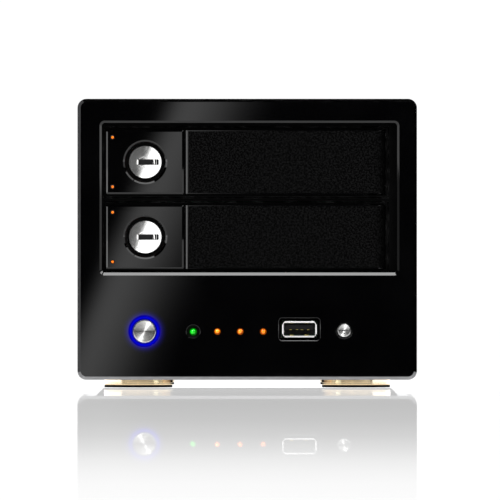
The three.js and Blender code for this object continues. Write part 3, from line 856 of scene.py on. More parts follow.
# ------------------------------------------------------------------ front controls
def build_controls():
    # power button: a shallow turned cone with a bright rolled edge
    x0, x1, d0, d1, z0, z1 = span("power_button")
    face = [(0.0, d0 + 0.16), (0.35, d0 + 0.17), (1.5, d0 + 0.13), (2.8, d0 + 0.08), (4.0, d0 + 0.03)]
    rim = soften([(4.0, d0 + 0.03), (4.35, d0), (4.65, d0 + 0.42), (4.65, 7.0), (5.6, 7.0), (5.6, 8.0), (2.0, 8.2), (2.0, d1)], 0.14, 3)
    make(
        "power_button_cap",
        lathe_geo(face + rim[1:] + [(0.0, d1)], (POWER_X, POWER_Z), n=128),
        turned("turned_metal_power", POWER_X, POWER_Z),
        "power_button",
        "power_button",
    )
    ring = soften(
        [(4.9, 0.12), (RING_R - 1.35, 0.02), (RING_R - 1.35, 4.2), (RING_R, 4.2), (RING_R, 6.4), (4.9, 6.4)],
        0.25,
        4,
        True,
    )
    make("power_ring_lens", lathe_geo(ring, (POWER_X, POWER_Z), n=128, closed=True), M["blue_lens"], "housing", "power_ring")
    # copy button
    x0, x1, d0, d1, z0, z1 = span("copy_button")
    face = [(0.0, d0 + 0.12), (0.25, d0 + 0.13), (1.2, d0 + 0.08), (2.2, d0 + 0.03)]
    rim = soften([(2.2, d0 + 0.03), (2.42, d0), (2.7, d0 + 0.36), (2.7, 4.6), (3.7, 4.6), (3.7, 5.6), (1.6, 5.8), (1.6, d1)], 0.12, 3)
    make(
        "copy_button_cap",
        lathe_geo(face + rim[1:] + [(0.0, d1)], (COPY_X, COPY_Z), n=96),
        turned("turned_metal_copy", COPY_X, COPY_Z),
        "copy_button",
        "copy_button",
    )
    # lamps: domed lens, body and collar
    for name, (x, _, z) in LAMP.items():
        _, _, d0, d1, _, _ = span(name)
        r = 1.2 if name == "status_lamp" else 1.05
        dome = [(r * math.sin(a), d0 + 0.85 * (1 - math.cos(a)) * r / 1.05) for a in [math.pi / 2 * i / 8 for i in range(9)]]
        body = soften([dome[-1], (r, 9.0), (r + 0.5, 9.2), (r + 0.5, d1), (0.0, d1)], 0.1, 2)
        make(
            name + "_lens",
            lathe_geo(dome + body[1:], (x, z), n=40),
            M["green_lens" if name == "status_lamp" else "amber_lens"],
            "housing",
            name,
        )


build_controls()


# ------------------------------------------------------------------ front USB port
def build_usb():
    x, z = USB_X, USB_Z
    d0, d1 = span("front_usb_shell")[2:4]
    out = lambda t: rr(x - 6.65, x + 6.65, z - 2.95, z + 2.95, 0.75, t, 6)
    inn = lambda t: rr(x - 6.25, x + 6.25, z - 2.55, z + 2.55, 0.45, -t, 6)
    geo = shell_geo(
        [(out(0.12), d0 + 0.35), (out(0.0), d0 + 0.47), (out(0.0), d1)],
        [[(inn(0.12), d0 + 0.35), (inn(0.0), d0 + 0.47), (inn(0.0), d1)]],
    )
    # four flared lips round the mouth
    section = []
    for i in range(7):
        a = math.pi / 2 * i / 6
        section.append((0.62 * (1 - math.cos(a)), 0.75 * math.sin(a)))  # offset outwards, forwards
    lips = []
    for side, half, base in (("t", 5.9, 2.55), ("b", 5.9, 2.55), ("l", 1.95, 6.25), ("r", 1.95, 6.25)):
        inner = [(base + o, d0 + 1.15 - f) for o, f in section]
        tip = inner[-1]
        outer = [(base + 0.38 + o * 0.75, d0 + 1.35 - f * 0.92) for o, f in section][::-1]
        poly = soften(inner + outer, 0.1, 2, True)
        V, F = prism_geo(poly, -half, half)
        place = {
            "t": lambda u, d, s: (x + s, d, z + u),
            "b": lambda u, d, s: (x + s, d, z - u),
            "l": lambda u, d, s: (x - u, d, z + s),
            "r": lambda u, d, s: (x + u, d, z + s),
        }[side]
        lips.append(([place(u, d, s) for u, d, s in V], F))
    springs = [
        rbox(x + s - 0.75, x + s + 0.75, d0 + 1.6, d0 + 6.5, z - 2.58, z - 2.02, 0.2)
        for s in (-3.1, 2.8)
    ] + [
        rbox(x + s - 0.75, x + s + 0.75, d0 + 5.0, d0 + 8.5, z + 2.2, z + 2.58, 0.12)
        for s in (-3.1, 2.8)
    ]
    make("front_usb_springs", merge(*springs), M["gold"], "housing")
    make("front_usb_mouth", merge(geo, *lips), M["polished_metal"], "housing", "front_usb_shell", sharp=40)
    td = span("front_usb_tongue")[2]
    tongue = merge(
        rbox(x - 5.6, x + 5.6, td, 11.2, z - 0.05, z + 1.75, 0.15),
        rbox(x - 5.9, x + 5.9, 11.0, 13.6, z - 2.2, z + 2.2, 0.15),
    )
    make("front_usb_tongue_body", tongue, M["usb_plastic"], "housing", "front_usb_tongue")
    pins = [
        rbox(x + s - 0.5, x + s + 0.5, td + 0.12, 10.8, z - 0.24, z + 0.1, 0.07)
        for s in (-3.5, -1.0, 1.0, 3.5)
    ]
    make("front_usb_contacts", merge(*pins), M["gold"], "housing")


def usb_plastic():
    g = Graph("usb_plastic")
    fine = g.noise(2600, 3)
    g.set(
        color=g.mix(g.fit(fine, 0.3, 0.7, 0, 1), (0.004, 0.004, 0.0042), (0.007, 0.007, 0.0072)),
        rough=g.fit(fine, 0.3, 0.7, 0.3, 0.42),
        spec=0.2,
        normal=g.bump(fine, 0.00003, 0.5),
    )
    return g.m


def rim():
    g = Graph("satin_black_rim")
    grain = g.noise(2600, 2, 0.6)
    broad = g.noise(80, 2)
    g.set(
        color=g.mix(g.fit(broad, 0.3, 0.7, 0, 1), (0.0008, 0.0008, 0.0009), (0.0016, 0.0016, 0.0017)),
        rough=g.math("ADD", g.fit(broad, 0.3, 0.7, 0.07, 0.1), g.fit(grain, 0.6, 0.8, 0, 0.04)),
        normal=g.bump(grain, 0.000002, 0.4),
    )
    return g.m


M["rim"] = rim()
M["usb_plastic"] = usb_plastic()
build_usb()


# ------------------------------------------------------------------ drive trays
def build_tray(w):
    lx, _, tz = mid("lock_barrel_" + w)
    px, pd, _ = mid("hinge_pin_" + w)
    bx0, bx1 = span("tray_front_" + w)[0] + 0.8, -25.4
    x0, x1, fd, bd = span("tray_front_" + w)[:4]  # the flange's ends, the face and the back
    bd = 12.0
    H = 12.8
    body = "tray_" + w
    blk = lambda t: rr(bx0, bx1, tz - H, tz + H, 0.7, t, 8)
    lgx, _, _ = span("light_guide_" + w)[0] + 0.6, 0, 0
    guides = [(lgx, tz + 9.9), (lgx, tz - 9.9)]
    geo = shell_geo(
        [(blk(0.7), fd), (blk(0.0), fd + 0.36), (blk(0.0), 11.9)],
        [
            bored(lx, tz, [(8.85, fd), (8.2, fd + 0.39), (8.2, 11.9)]),
            *[bored(gx, gz, [(0.9, fd), (0.75, fd + 0.12), (0.75, 11.9)], 32) for gx, gz in guides],
        ],
    )
    make("lock_block_" + w, geo, M["gloss_black"], body, "tray_front_" + w, sharp=20, weighted=False)
    # flanges, rails, back wall with its vents, and hinge lugs
    fx0, fx1 = x0, x1
    flange = shell_geo(
        rounded(lambda t: rr(fx0, fx1, tz - 14, tz + 14, 0.6, t, 4), 4.4, 6.8, 0.25, 2),
        [
            [
                ([(-24.9, tz - 12.3), (46.7, tz - 12.3), (46.7, tz - 13.1), (55.49, tz - 13.1), (55.49, tz + 13.1), (46.7, tz + 13.1), (46.7, tz + 12.3), (-24.9, tz + 12.3)], 4.4),
                ([(-24.9, tz - 12.3), (46.7, tz - 12.3), (46.7, tz - 13.1), (55.49, tz - 13.1), (55.49, tz + 13.1), (46.7, tz + 13.1), (46.7, tz + 12.3), (-24.9, tz + 12.3)], 6.8),
            ],
            [(circ(lx, tz, 8.25, 64), 4.4), (circ(lx, tz, 8.25, 64), 6.8)],
        ],
    )
    vents = []
    for i in range(4):
        a = -12 + i * 15.5
        f = lambda t, a=a: rr(a, a + 10.5, tz - 9, tz + 9, 1.2, -t, 4)
        vents.append([(f(0.3), 9.8), (f(0.0), 10.1), (f(0.0), bd)])
    way = [(rr(-24.4, -16.0, tz - 5, tz + 5, 0.6, 0, 4), 9.8), (rr(-24.4, -16.0, tz - 5, tz + 5, 0.6, 0, 4), bd)]
    wall = shell_geo(
        rounded(lambda t: rr(fx0, fx1, tz - 14, tz + 14, 0.6, t, 4), 9.8, bd, 0.25, 2),
        vents + [way, [(circ(lx, tz, 8.25, 64), 9.8), (circ(lx, tz, 8.25, 64), bd)]],
    )
    rails = [rbox(-26, 47, 4.6, 11.8, tz + s * 12.8 - (1.3 if s > 0 else 0), tz + s * 12.8 + (0 if s > 0 else 1.3), 0.2) for s in (1, -1)]
    lugs = []
    for a, b in ((11.5, 12.8), (-12.8, -11.5)):
        lugs.append(lathe_geo([(1.15, tz + a), (2.3, tz + a), (2.3, tz + b), (1.15, tz + b)], (px, pd), "z", 48, True))
        lugs.append(prism_geo([(46.6, 4.5), (px - 1.2, 4.2), (px - 1.2, 7.0), (46.6, 7.4)], tz + a, tz + b))
    guides_b = [rbox(-33.5, -27, 11.8, 14.6, tz + 6.4, tz + 8.0, 0.2), rbox(-32.5, -27, 11.8, 14.6, tz - 4.0, tz - 2.4, 0.2)]
    make("tray_frame_" + w, merge(flange, wall, *rails, *lugs, *guides_b), M["satin_black"], body)

    # amber light guides
    geo = []
    for gx, gz in guides:
        prof = [(0.0, fd - 0.06), (0.3, fd - 0.02), (0.5, fd + 0.08), (0.6, fd + 0.25), (0.6, 12.5), (0.0, 12.5)]
        geo.append(lathe_geo(prof, (gx, gz), n=24))
    a = span("light_guide_" + w)
    geo.append(rbox(a[1] - 1.5, a[1], 12.3, a[3], tz - 10.9, tz + 10.9, 0.2))
    make("light_guide_bar_" + w, merge(*geo), M["amber_lens"], body, "light_guide_" + w)

    # lock: barrel ring, plug with its key way, wards with a pin at the back, and key shutter
    b0, b1 = span("lock_barrel_" + w)[2:4]
    prof = soften([(6.8, b0 + 0.25), (7.15, b0), (7.9, b0), (7.9, b1), (6.8, b1)], 0.15, 3, True)
    make("lock_barrel_ring_" + w, lathe_geo(prof, (lx, tz), closed=True), M["satin_black"], body, "lock_barrel_" + w)
    p0, p1 = span("lock_plug_" + w)[2], 12.3
    R = 138.0
    face = [(r, p0 + r * r / (2 * R)) for r in [6.44 * i / 12 for i in range(13)]]
    rim = soften([face[-1], (6.55, p0 + 0.27), (6.6, p0 + 0.5), (6.6, p1), (0.0, p1)], 0.12, 3)
    plug = make("lock_plug_core_" + w, lathe_geo(face + rim[1:], (lx, tz), n=128), M["polished_metal"], "lock_" + w, "lock_plug_" + w, sharp=32)
    cx = lx - 0.55
    carve(
        plug,
        lathe_geo([(1.92, p0 - 1), (2.22, p0 - 1), (2.22, p0 + 0.7), (1.92, p0 + 0.7)], (cx, tz), n=64, closed=True),
        rbox(lx - 3.35, lx + 5.4, p0 - 2, p0 + 5.6, tz - 1.12, tz + 1.12, 0.3, 2),
    )
    wards = merge(
        prism_geo([(lx - 3.35, p0 + 0.2), (lx - 2.8, p0 + 0.27), (lx - 2.8, p0 + 5.5), (lx - 3.35, p0 + 5.5)], tz - 0.95, tz + 0.95),
        rbox(lx + 3.0, lx + 3.9, p0 + 1.1, p0 + 5.5, tz - 1.1, tz + 1.1, 0.15),
        rbox(lx + 4.25, lx + 4.6, p0 + 0.8, p0 + 5.5, tz - 1.1, tz + 1.1, 0.1),
        lathe_geo([(0.0, 12.0), (1.0, 12.0), (1.0, 14.3), (0.85, 14.4), (0.0, 14.4)], (lx - 2.475, tz + 2.475), n=32),
    )
    make("lock_wards_" + w, wards, M["polished_metal"], "lock_" + w)
    shutter = rbox(lx - 3.3, lx + 5.35, p0 + 2.4, p0 + 5.5, tz - 1.1, tz + 1.1, 0.1)
    make("key_shutter_" + w, shutter, M["black_plastic"], "lock_" + w)

    # handle: wrapped skin, core with its airway and ribs, knuckle, keeper
    hb = "handle_" + w
    hx0, _, hd0 = span("handle_" + w)[:3]
    arc = lambda r, a0, a1, n: [
        (px + r * math.cos(math.radians(a0 + (a1 - a0) * i / n)), pd + r * math.sin(math.radians(a0 + (a1 - a0) * i / n)))
        for i in range(n + 1)
    ]
    skin = [(hx0, hd0 + 0.41), (hx0 + 0.7, hd0 + 0.05), *arc(3.86, -90, 0, 12), *arc(2.6, 0, -90, 10), (hx0, pd - 2.6)]
    V, F = prism_geo(skin, tz - H, tz + H)
    make("handle_skin_" + w, (V, F), M["rim"], hb, "handle_" + w, bevel=0.12, segments=1, sharp=22)
    core = shell_geo(
        rounded(lambda t: rr(hx0 + 0.2, px - 3.7, tz - 11.2, tz + 11.2, 0.8, t, 4), pd - 2.65, 6.6, 0.25, 2),
        [[(rr(-19, 44, tz - 8.8, tz + 8.8, 1.0, 0, 4), pd - 2.65), (rr(-19, 44, tz - 8.8, tz + 8.8, 1.0, 0, 4), 6.35), (rr(-19, 44, tz - 8.8, tz + 8.8, 1.0, -0.25, 4), 6.6)]],
    )
    ribs = [rbox(-4 + i * 16, -2.8 + i * 16, 3.1, 6.3, tz - 9.4, tz + 9.4, 0.2) for i in range(3)]
    knuckle = lathe_geo([(1.2, tz - 11.2), (3.5, tz - 11.2), (3.7, tz - 11.0), (3.7, tz + 11.0), (3.5, tz + 11.2), (1.2, tz + 11.2)], (px, pd), "z", 64, True)
    kf = lambda t: rr(6.2, 16.4, tz - 4, tz + 4, 0.6, t, 4)
    win = rr(12.2, 14.9, tz - 2.8, tz + 2.8, 0.3, 0, 4)
    keeper = shell_geo(
        [(kf(0.2), -22.5), (kf(0.0), -22.3), (kf(0.0), -20.7), (kf(0.2), -20.5)],
        [[(win, -22.5), (win, -20.5)]],
    )
    keeper = ([(d, x, z) for x, d, z in keeper[0]], keeper[1])
    make("handle_core_" + w, merge(core, *ribs, knuckle, keeper), M["satin_black"], hb)

    # grained facing that wraps round the knuckle, with real relief
    path = []
    step = 0.42
    sx = hx0 + 1.0
    n = int((px - sx) / step)
    for i in range(n + 1):
        path.append((sx + (px - sx) * i / n, pd - 3.9, 0.0, -1.0))
    for i in range(1, 13):
        a = math.radians(-90 + 78 * i / 12)
        path.append((px + 3.9 * math.cos(a), pd + 3.9 * math.sin(a), math.cos(a), math.sin(a)))
    zs = [-12.35 + 24.7 * k / 58 for k in range(59)]
    V, F = [], []
    for i, (x, d, nx, nd) in enumerate(path):
        for k, z in enumerate(zs):
            edge = i in (0, len(path) - 1) or k in (0, len(zs) - 1)
            h = 0.0 if edge else 0.02 + 0.05 * noise.noise(Vector((x * 1.9, d * 1.9 + 7.0, (z + tz) * 1.9))) + 0.03 * noise.noise(Vector((x * 3.7, d * 3.7, (z + tz) * 3.7)))
            V.append((x + nx * h, max(d + nd * h, 1.55), z + tz))
    rows, cols = len(path), len(zs)
    for i in range(rows - 1):
        for k in range(cols - 1):
            a = i * cols + k
            F.append((a, a + 1, a + cols + 1, a + cols))
    base = len(V)  # a flat back closes the sheet
    for i, (x, d, nx, nd) in enumerate(path):
        for k, z in ((0, zs[0]), (cols - 1, zs[-1])):
            V.append((x - nx * 0.45, d - nd * 0.45, z + tz))
    for i in range(rows - 1):
        a, b = base + 2 * i, base + 2 * i + 2
        F.append((a, b, b + 1, a + 1))
        F.append((i * cols, (i + 1) * cols, b, a))
        F.append((i * cols + cols - 1, a + 1, b + 1, (i + 1) * cols + cols - 1))
    F.append(tuple(range(0, cols)) + (base + 1, base))
    e = (rows - 1) * cols
    F.append(tuple(range(e, e + cols)) + (base + 2 * rows - 1, base + 2 * rows - 2))
    make("handle_facing_" + w, (V, F), M["handle_mesh"], hb, "handle_mesh_" + w, sharp=60, weighted=False)


for w in ("upper", "lower"):
    build_tray(w)


# ------------------------------------------------------------------ feet
for where in ("front_left", "front_right", "rear_left", "rear_right"):
    x, d, _ = mid("foot_" + where)
    x0, x1, _, _, z0, z1 = span("foot_" + where)
    r = (x1 - x0) / 2
    z0 -= 0.22
    prof = soften([(0.0, z0), (r - 0.2, z0), (r, z0 + 0.18), (r, z0 + 0.7), (r - 0.05, z0 + 0.76), (r - 0.05, z0 + 0.86), (r, z0 + 0.92), (r, z1 - 0.3), (r - 0.3, z1), (0.0, z1)], 0.12, 3)
    make("foot_disc_" + where, lathe_geo(prof, (x, d), "z", 160), M["champagne_metal"], "housing", "foot_" + where)
    x0, x1, _, _, z0, z1 = span("foot_pad_" + where)
    r = (x1 - x0) / 2
    z1 -= 0.18
    prof = soften([(0.0, z0 + 0.3), (r - 4.0, z0 + 0.3), (r - 3.6, z0), (r - 0.12, z0), (r, z0 + 0.12), (r, z1), (0.0, z1)], 0.1, 3)
    make("foot_rubber_" + where, lathe_geo(prof, (x, d), "z", 128), M["foot_rubber"], "housing", "foot_pad_" + where)


# ------------------------------------------------------------------ rear
def screw(x, z, d, r=2.6, out=1, depth=1.5, turn=0.3):
    """A pan-head screw with a cross recess; out is +1 when the head faces away from the fascia."""
    loop = lambda k: circ(x, z, k, 40)
    rings = [(loop(r * 0.62), d + out * depth), (loop(r * 0.86), d + out * depth * 0.88), (loop(r * 0.97), d + out * depth * 0.62), (loop(r), d + out * 0.2), (loop(r), d - out * 0.2)]
    a, b = r * 0.56, r * 0.15
    cross = [(b, a), (-b, a), (-b, b), (-a, b), (-a, -b), (-b, -b), (-b, -a), (b, -a), (b, -b), (a, -b), (a, b), (b, b)]
    c, s = math.cos(turn), math.sin(turn)
    pts = [(x + u * c - v * s, z + u * s + v * c) for u, v in cross]
    small = [(x + (u * c - v * s) * 0.6, z + (u * s + v * c) * 0.6) for u, v in cross]
    return shell_geo(rings, blind=[[(pts, d + out * depth), (small, d + out * (depth - 0.9))]])


def build_rear():
    x0, x1, d0, d1, z0, z1 = span("rear_panel")
    fx, _, fz = mid("fan_frame")
    net, usb, jack = span("network_socket"), span("rear_usb_ports"), span("power_inlet")
    hole = lambda s, g: rr(s[0] - g, s[1] + g, s[4] - g, s[5] + g, 0.5, 0, 4)
    through = lambda l0, l1: [(l1, d1), (l0, d1 - 0.15), (l0, d0)]
    holes = [through(circ(fx, fz, 28.0, 128), circ(fx, fz, 28.2, 128))]
    for s in (net, usb, jack):
        holes.append(through(hole(s, 0.4), hole(s, 0.55)))
    panel = shell_geo(rounded(lambda t: rr(x0, x1, z0, z1, 1.5, t, 6), d1, d0, 0.2, 2), holes)
    make("rear_panel_sheet", panel, M["cover_metal"], "housing", "rear_panel")
    spots = [(fx + a, fz + b) for a in (-25, 25) for b in (-25, 25)]
    edge = [(x0 + 6, z1 - 6), (x1 - 6, z1 - 6), (x0 + 6, z0 + 8), (x1 - 6, z0 + 8)]
    heads = [screw(a, b, d1 + 0.02, 2.5, 1, 1.3, 0.3 + i) for i, (a, b) in enumerate(edge)]
    heads += [screw(a, b, d1 + 0.02, 2.7, 1, 0.55, 0.8 + i * 0.7) for i, (a, b) in enumerate(spots)]
    make("rear_screws", merge(*heads), M["polished_metal"], "housing")

    # finger guard of round wire
    g0, g1 = span("finger_guard")[2:4]
    gd = g1 - 0.8
    wires = [tube_geo([(fx + r * math.cos(t), gd, fz + r * math.sin(t)) for t in [2 * math.pi * i / 72 for i in range(72)]], 0.78, 10, True) for r in (5, 12, 19, 26)]
    for k in range(4):
        a = math.pi * (0.25 + 0.5 * k)
        pts = [(fx + r * math.cos(a), gd - 0.5 if r < 30 else gd - 0.5, fz + r * math.sin(a)) for r in (3, 8, 15, 22, 27, 30, 32.2)]
        wires.append(tube_geo(pts, 0.74, 10))
        cx, cz = fx + 35.355 * math.cos(a), fz + 35.355 * math.sin(a)
        wires.append(tube_geo([(cx + 3.2 * math.cos(t), gd - 0.45, cz + 3.2 * math.sin(t)) for t in [2 * math.pi * i / 36 for i in range(36)]], 0.7, 8, True))
    make("finger_guard_wire", merge(*wires), M["polished_metal"], "housing", "finger_guard", sharp=60)

    # fan
    a0, a1, f0, f1, _, _ = span("fan_frame")
    h = (a1 - a0) / 2
    sq = lambda t: rr(fx - h, fx + h, fz - h, fz + h, 3.5, t, 8)
    bore = [(circ(fx, fz, r, 128), d) for r, d in ((29.0, f0), (28.6, f0 + 1.2), (28.5, f0 + 3), (28.5, f1 - 3), (28.6, f1 - 1.2), (29.0, f1))]
    mounts = [[(circ(a, b, 2.35, 32), f0), (circ(a, b, 2.15, 32), f0 + 0.3), (circ(a, b, 2.15, 32), f1)] for a, b in spots]
    frame_geo = shell_geo(rounded(sq, f0, f1, 0.5, 3), [bore] + mounts)
    parts = [frame_geo, lathe_geo(soften([(0.0, f1 - 3.0), (12.0, f1 - 3.0), (12.0, f1 - 0.3), (0.0, f1 - 0.3)], 0.4, 3), (fx, fz), n=64)]
    parts.append(lathe_geo([(0.0, f1 - 14), (1.5, f1 - 14), (1.5, f1 - 2), (0.0, f1 - 2)], (fx, fz), n=24))
    for k in range(4):
        a = math.pi * (0.25 + 0.5 * k)
        c, s = math.cos(a), math.sin(a)
        V, F = rbox(11, 29.4, f1 - 2.6, f1 - 0.4, -1.25, 1.25, 0.4, 3)
        parts.append(([(fx + x * c - z * s, d, fz + x * s + z * c) for x, d, z in V], F))
    make("fan_housing", merge(*parts), M["black_plastic"], "housing", "fan_frame")
    hub = lathe_geo(soften([(0.0, f0 + 2.0), (12.5, f0 + 2.0), (12.5, f1 - 4.2), (11.2, f1 - 4.2), (11.2, f0 + 4.0), (3.4, f0 + 4.0), (3.4, f1 - 6), (1.75, f1 - 6), (1.75, f0 + 5.2), (0.0, f0 + 5.2)], 0.5, 3), (fx, fz), n=72)
    blades = []
    for i in range(7):
        V, F = [], []
        nr, nc = 9, 8
        for side in (0.55, -0.55):
            for a in range(nr):
                r = 11.9 + (26.9 - 11.9) * a / (nr - 1)
                pitch = math.radians(50 - 20 * a / (nr - 1))
                chord = 12.0 + 3.0 * a / (nr - 1)
                for b in range(nc):
                    u = b / (nc - 1) - 0.5
                    thick = side * (1 - (2 * u) ** 2 * 0.75)
                    along = u * chord
                    camber = 0.9 * (1 - (2 * u) ** 2)
                    t = along * math.cos(pitch) / r + 2 * math.pi * i / 7 + 0.12 * a / (nr - 1)
                    d = (f0 + f1) / 2 - 1.1 + along * math.sin(pitch) + thick + camber
                    V.append((fx + r * math.cos(t), d, fz + r * math.sin(t)))
        m = nr * nc
        for a in range(nr - 1):
            for b in range(nc - 1):
                q = a * nc + b
                F.append((q, q + 1, q + nc + 1, q + nc))
                F.append((m + q, m + q + nc, m + q + nc + 1, m + q + 1))
        for b in range(nc - 1):
            F.append((b, m + b, m + b + 1, b + 1))
            q = (nr - 1) * nc + b
            F.append((q, q + 1, m + q + 1, m + q))
        for a in range(nr - 1):
            q = a * nc
            F.append((q, q + nc, m + q + nc, m + q))
            q = a * nc + nc - 1
            F.append((q, m + q, m + q + nc, q + nc))
        blades.append((V, F))
    make("fan_blades", merge(hub, *blades), M["black_plastic"], "fan_rotor", "fan_rotor", sharp=50)

    # network socket
    n0, n1, nd0, nd1, nz0, nz1 = net
    cav = [(n0 + 2.1, nz0 + 3.4), (n0 + 5.4, nz0 + 3.4), (n0 + 5.4, nz0 + 1.4), (n0 + 10.6, nz0 + 1.4), (n0 + 10.6, nz0 + 3.4), (n0 + 13.9, nz0 + 3.4), (n0 + 13.9, nz0 + 11.4), (n0 + 2.1, nz0 + 11.4)]
    wide = [(x + (0.25 if x > (n0 + n1) / 2 else -0.25), z + (0.2 if z > nz0 + 8 else -0.2)) for x, z in cav]
    shell = shell_geo(
        rounded(lambda t: rr(n0, n1, nz0, nz1, 0.4, t, 3), nd1, nd0, 0.2, 2),
        blind=[[(wide, nd1), (cav, nd1 - 0.3), (cav, nd1 - 12.9)]],
    )
    make("network_jack", shell, M["polished_metal"], "housing", "network_socket")
    pins = []
    for i in range(8):
        x = (n0 + n1) / 2 + (i - 3.5) * 1.02
        pins.append(tube_geo([(x, nd1 - 12.8, nz0 + 11.0), (x, nd1 - 9.0, nz0 + 10.9), (x, nd1 - 3.4, nz0 + 10.6), (x, nd1 - 2.8, nz0 + 10.2), (x, nd1 - 3.2, nz0 + 9.8), (x, nd1 - 8.0, nz0 + 8.3)], 0.2, 8))
    make("network_contacts", merge(*pins), M["gold"], "housing")
    lamps = [rbox(n0 + a, n0 + a + 2.2, nd1 - 1.0, nd1 + 0.12, nz0 + 11.7, nz0 + 12.9, 0.15) for a in (1.2, 12.6)]
    make("network_lamps", merge(*lamps), M["port_lamp"], "housing")

    # rear USB ports
    u0, u1, ud0, ud1, uz0, uz1 = usb
    pits = []
    tongues, golds = [], []
    for zc in (uz0 + 4.1, uz0 + 11.8):
        f = lambda t, zc=zc: rr(u0 + 0.75, u1 - 0.75, zc - 2.55, zc + 2.55, 0.5, -t, 4)
        pits.append([(f(0.3), ud1), (f(0.0), ud1 - 0.4), (f(0.0), ud1 - 12.8)])
        tongues.append(rbox(u0 + 1.45, u1 - 1.45, ud1 - 12.7, ud1 - 1.4, zc - 0.1, zc + 1.7, 0.15))
        for s in (-3.5, -1, 1, 3.5):
            xm = (u0 + u1) / 2
            golds.append(rbox(xm + s - 0.5, xm + s + 0.5, ud1 - 12, ud1 - 1.6, zc - 0.28, zc + 0.0, 0.08))
    make("rear_usb_stack", shell_geo(rounded(lambda t: rr(u0, u1, uz0, uz1, 0.5, t, 4), ud1, ud0, 0.2, 2), blind=pits), M["polished_metal"], "housing", "rear_usb_ports")
    make("rear_usb_tongues", merge(*tongues), M["usb_plastic"], "housing")
    make("rear_usb_contacts", merge(*golds), M["gold"], "housing")

    # power inlet
    j0, j1, jd0, jd1, jz0, jz1 = jack
    jx, jz = (j0 + j1) / 2, 19.4
    pit = [(circ(jx, jz, r, 64), d) for r, d in ((3.25, jd1), (2.9, jd1 - 0.35), (2.9, jd1 - 11.4))]
    make("power_jack", shell_geo(rounded(lambda t: rr(j0, j1, jz0, jz1, 0.8, t, 4), jd1, jd0, 0.25, 2), blind=[pit]), M["black_plastic"], "housing", "power_inlet")
    pin = lathe_geo(soften([(0.0, jd1 - 11.5), (1.05, jd1 - 11.5), (1.05, jd1 - 1.6), (0.6, jd1 - 1.0), (0.0, jd1 - 1.0)], 0.2, 3), (jx, jz), n=32)
    make("power_jack_pin", pin, M["polished_metal"], "housing")


build_rear()


# ------------------------------------------------------------------ carried-over CAD nodes
def dress(node, mat, bevel=0.25, flat=True):
    o = NODES[node]
    o.data.materials.clear()
    o.data.materials.append(M[mat])
    for p in o.data.polygons:
        p.use_smooth = True
    if flat:
        m = o.modifiers.new("flat", "DECIMATE")
        m.decimate_type = "DISSOLVE"
        m.angle_limit = math.radians(1.0)
    m = o.modifiers.new("edge", "BEVEL")
    m.width = bevel * MM
    m.segments = 2
    m.limit_method = "ANGLE"
    m.angle_limit = math.radians(35)
    m.use_clamp_overlap = True
    m = o.modifiers.new("normals", "WEIGHTED_NORMAL")
    m.keep_sharp = True


dress("top_cover", "cover_metal", 0.35)
dress("bay_surround", "satin_black", 0.3)
dress("base_pan", "zinc_sheet")
dress("cage_bridge", "zinc_sheet")
for n in ("cage_wall_left", "cage_wall_right"):
    dress(n, "black_plastic", 0.3)
for n in ("backplane", "mainboard", "front_board"):
    dress(n, "circuit_board", 0.12)
dress("heatsink", "heatsink_metal", 0.15)
dress("front_cable", "cable_jacket", 0.12)
for w in ("upper", "lower"):
    dress("drive_socket_" + w, "black_plastic", 0.2)
    dress("tray_carrier_" + w, "satin_black", 0.25)
    dress("hinge_pin_" + w, "polished_metal", 0.15)
    dress("lock_bolt_" + w, "zinc_sheet", 0.15)
    dress("disk_base_" + w, "cast_metal", 0.35)
    dress("disk_lid_" + w, "disk_lid_metal", 0.3)


# ------------------------------------------------------------------ camera
D = 6666.667
cam = bpy.data.cameras.new("camera")
cam.lens = 1200
cam.sensor_width = 36
cam.clip_start = 0.5
cam.clip_end = 60
cam_o = bpy.data.objects.new("camera", cam)
scene.collection.objects.link(cam_o)
cam_o.location = (0.00112, Y0 - D * MM, 0.05512)
cam_o.rotation_euler = (math.pi / 2, 0, 0)
scene.camera = cam_o


# ------------------------------------------------------------------ lights
def area(name, at, to, sx, sy, radiance, roll=0.0, only=(), skip=(), tint=(1, 1, 1)):
    l = bpy.data.lights.new(name, "AREA")
    l.shape = "RECTANGLE"
    l.size, l.size_y = sx * MM, sy * MM
    l.energy = radiance * math.pi * sx * sy * MM * MM
    l.color = tint
    o = bpy.data.objects.new(name, l)
    scene.collection.objects.link(o)
    p = Vector((at[0] * MM, Y0 + at[1] * MM, at[2] * MM))
    q = Vector((to[0] * MM, Y0 + to[1] * MM, to[2] * MM))
    o.location = p
    o.rotation_mode = "QUATERNION"
    o.rotation_quaternion = (q - p).to_track_quat("-Z", "Y") @ Quaternion((0, 0, 1), roll)
    o.visible_camera = False
    if only or skip:
        c = bpy.data.collections.new(name + "_receivers")
        for r in only or skip:
            c.objects.link(r)
        o.light_linking.receiver_collection = c
        if skip:
            for entry in c.collection_objects:
                entry.light_linking.link_state = "EXCLUDE"
    return o


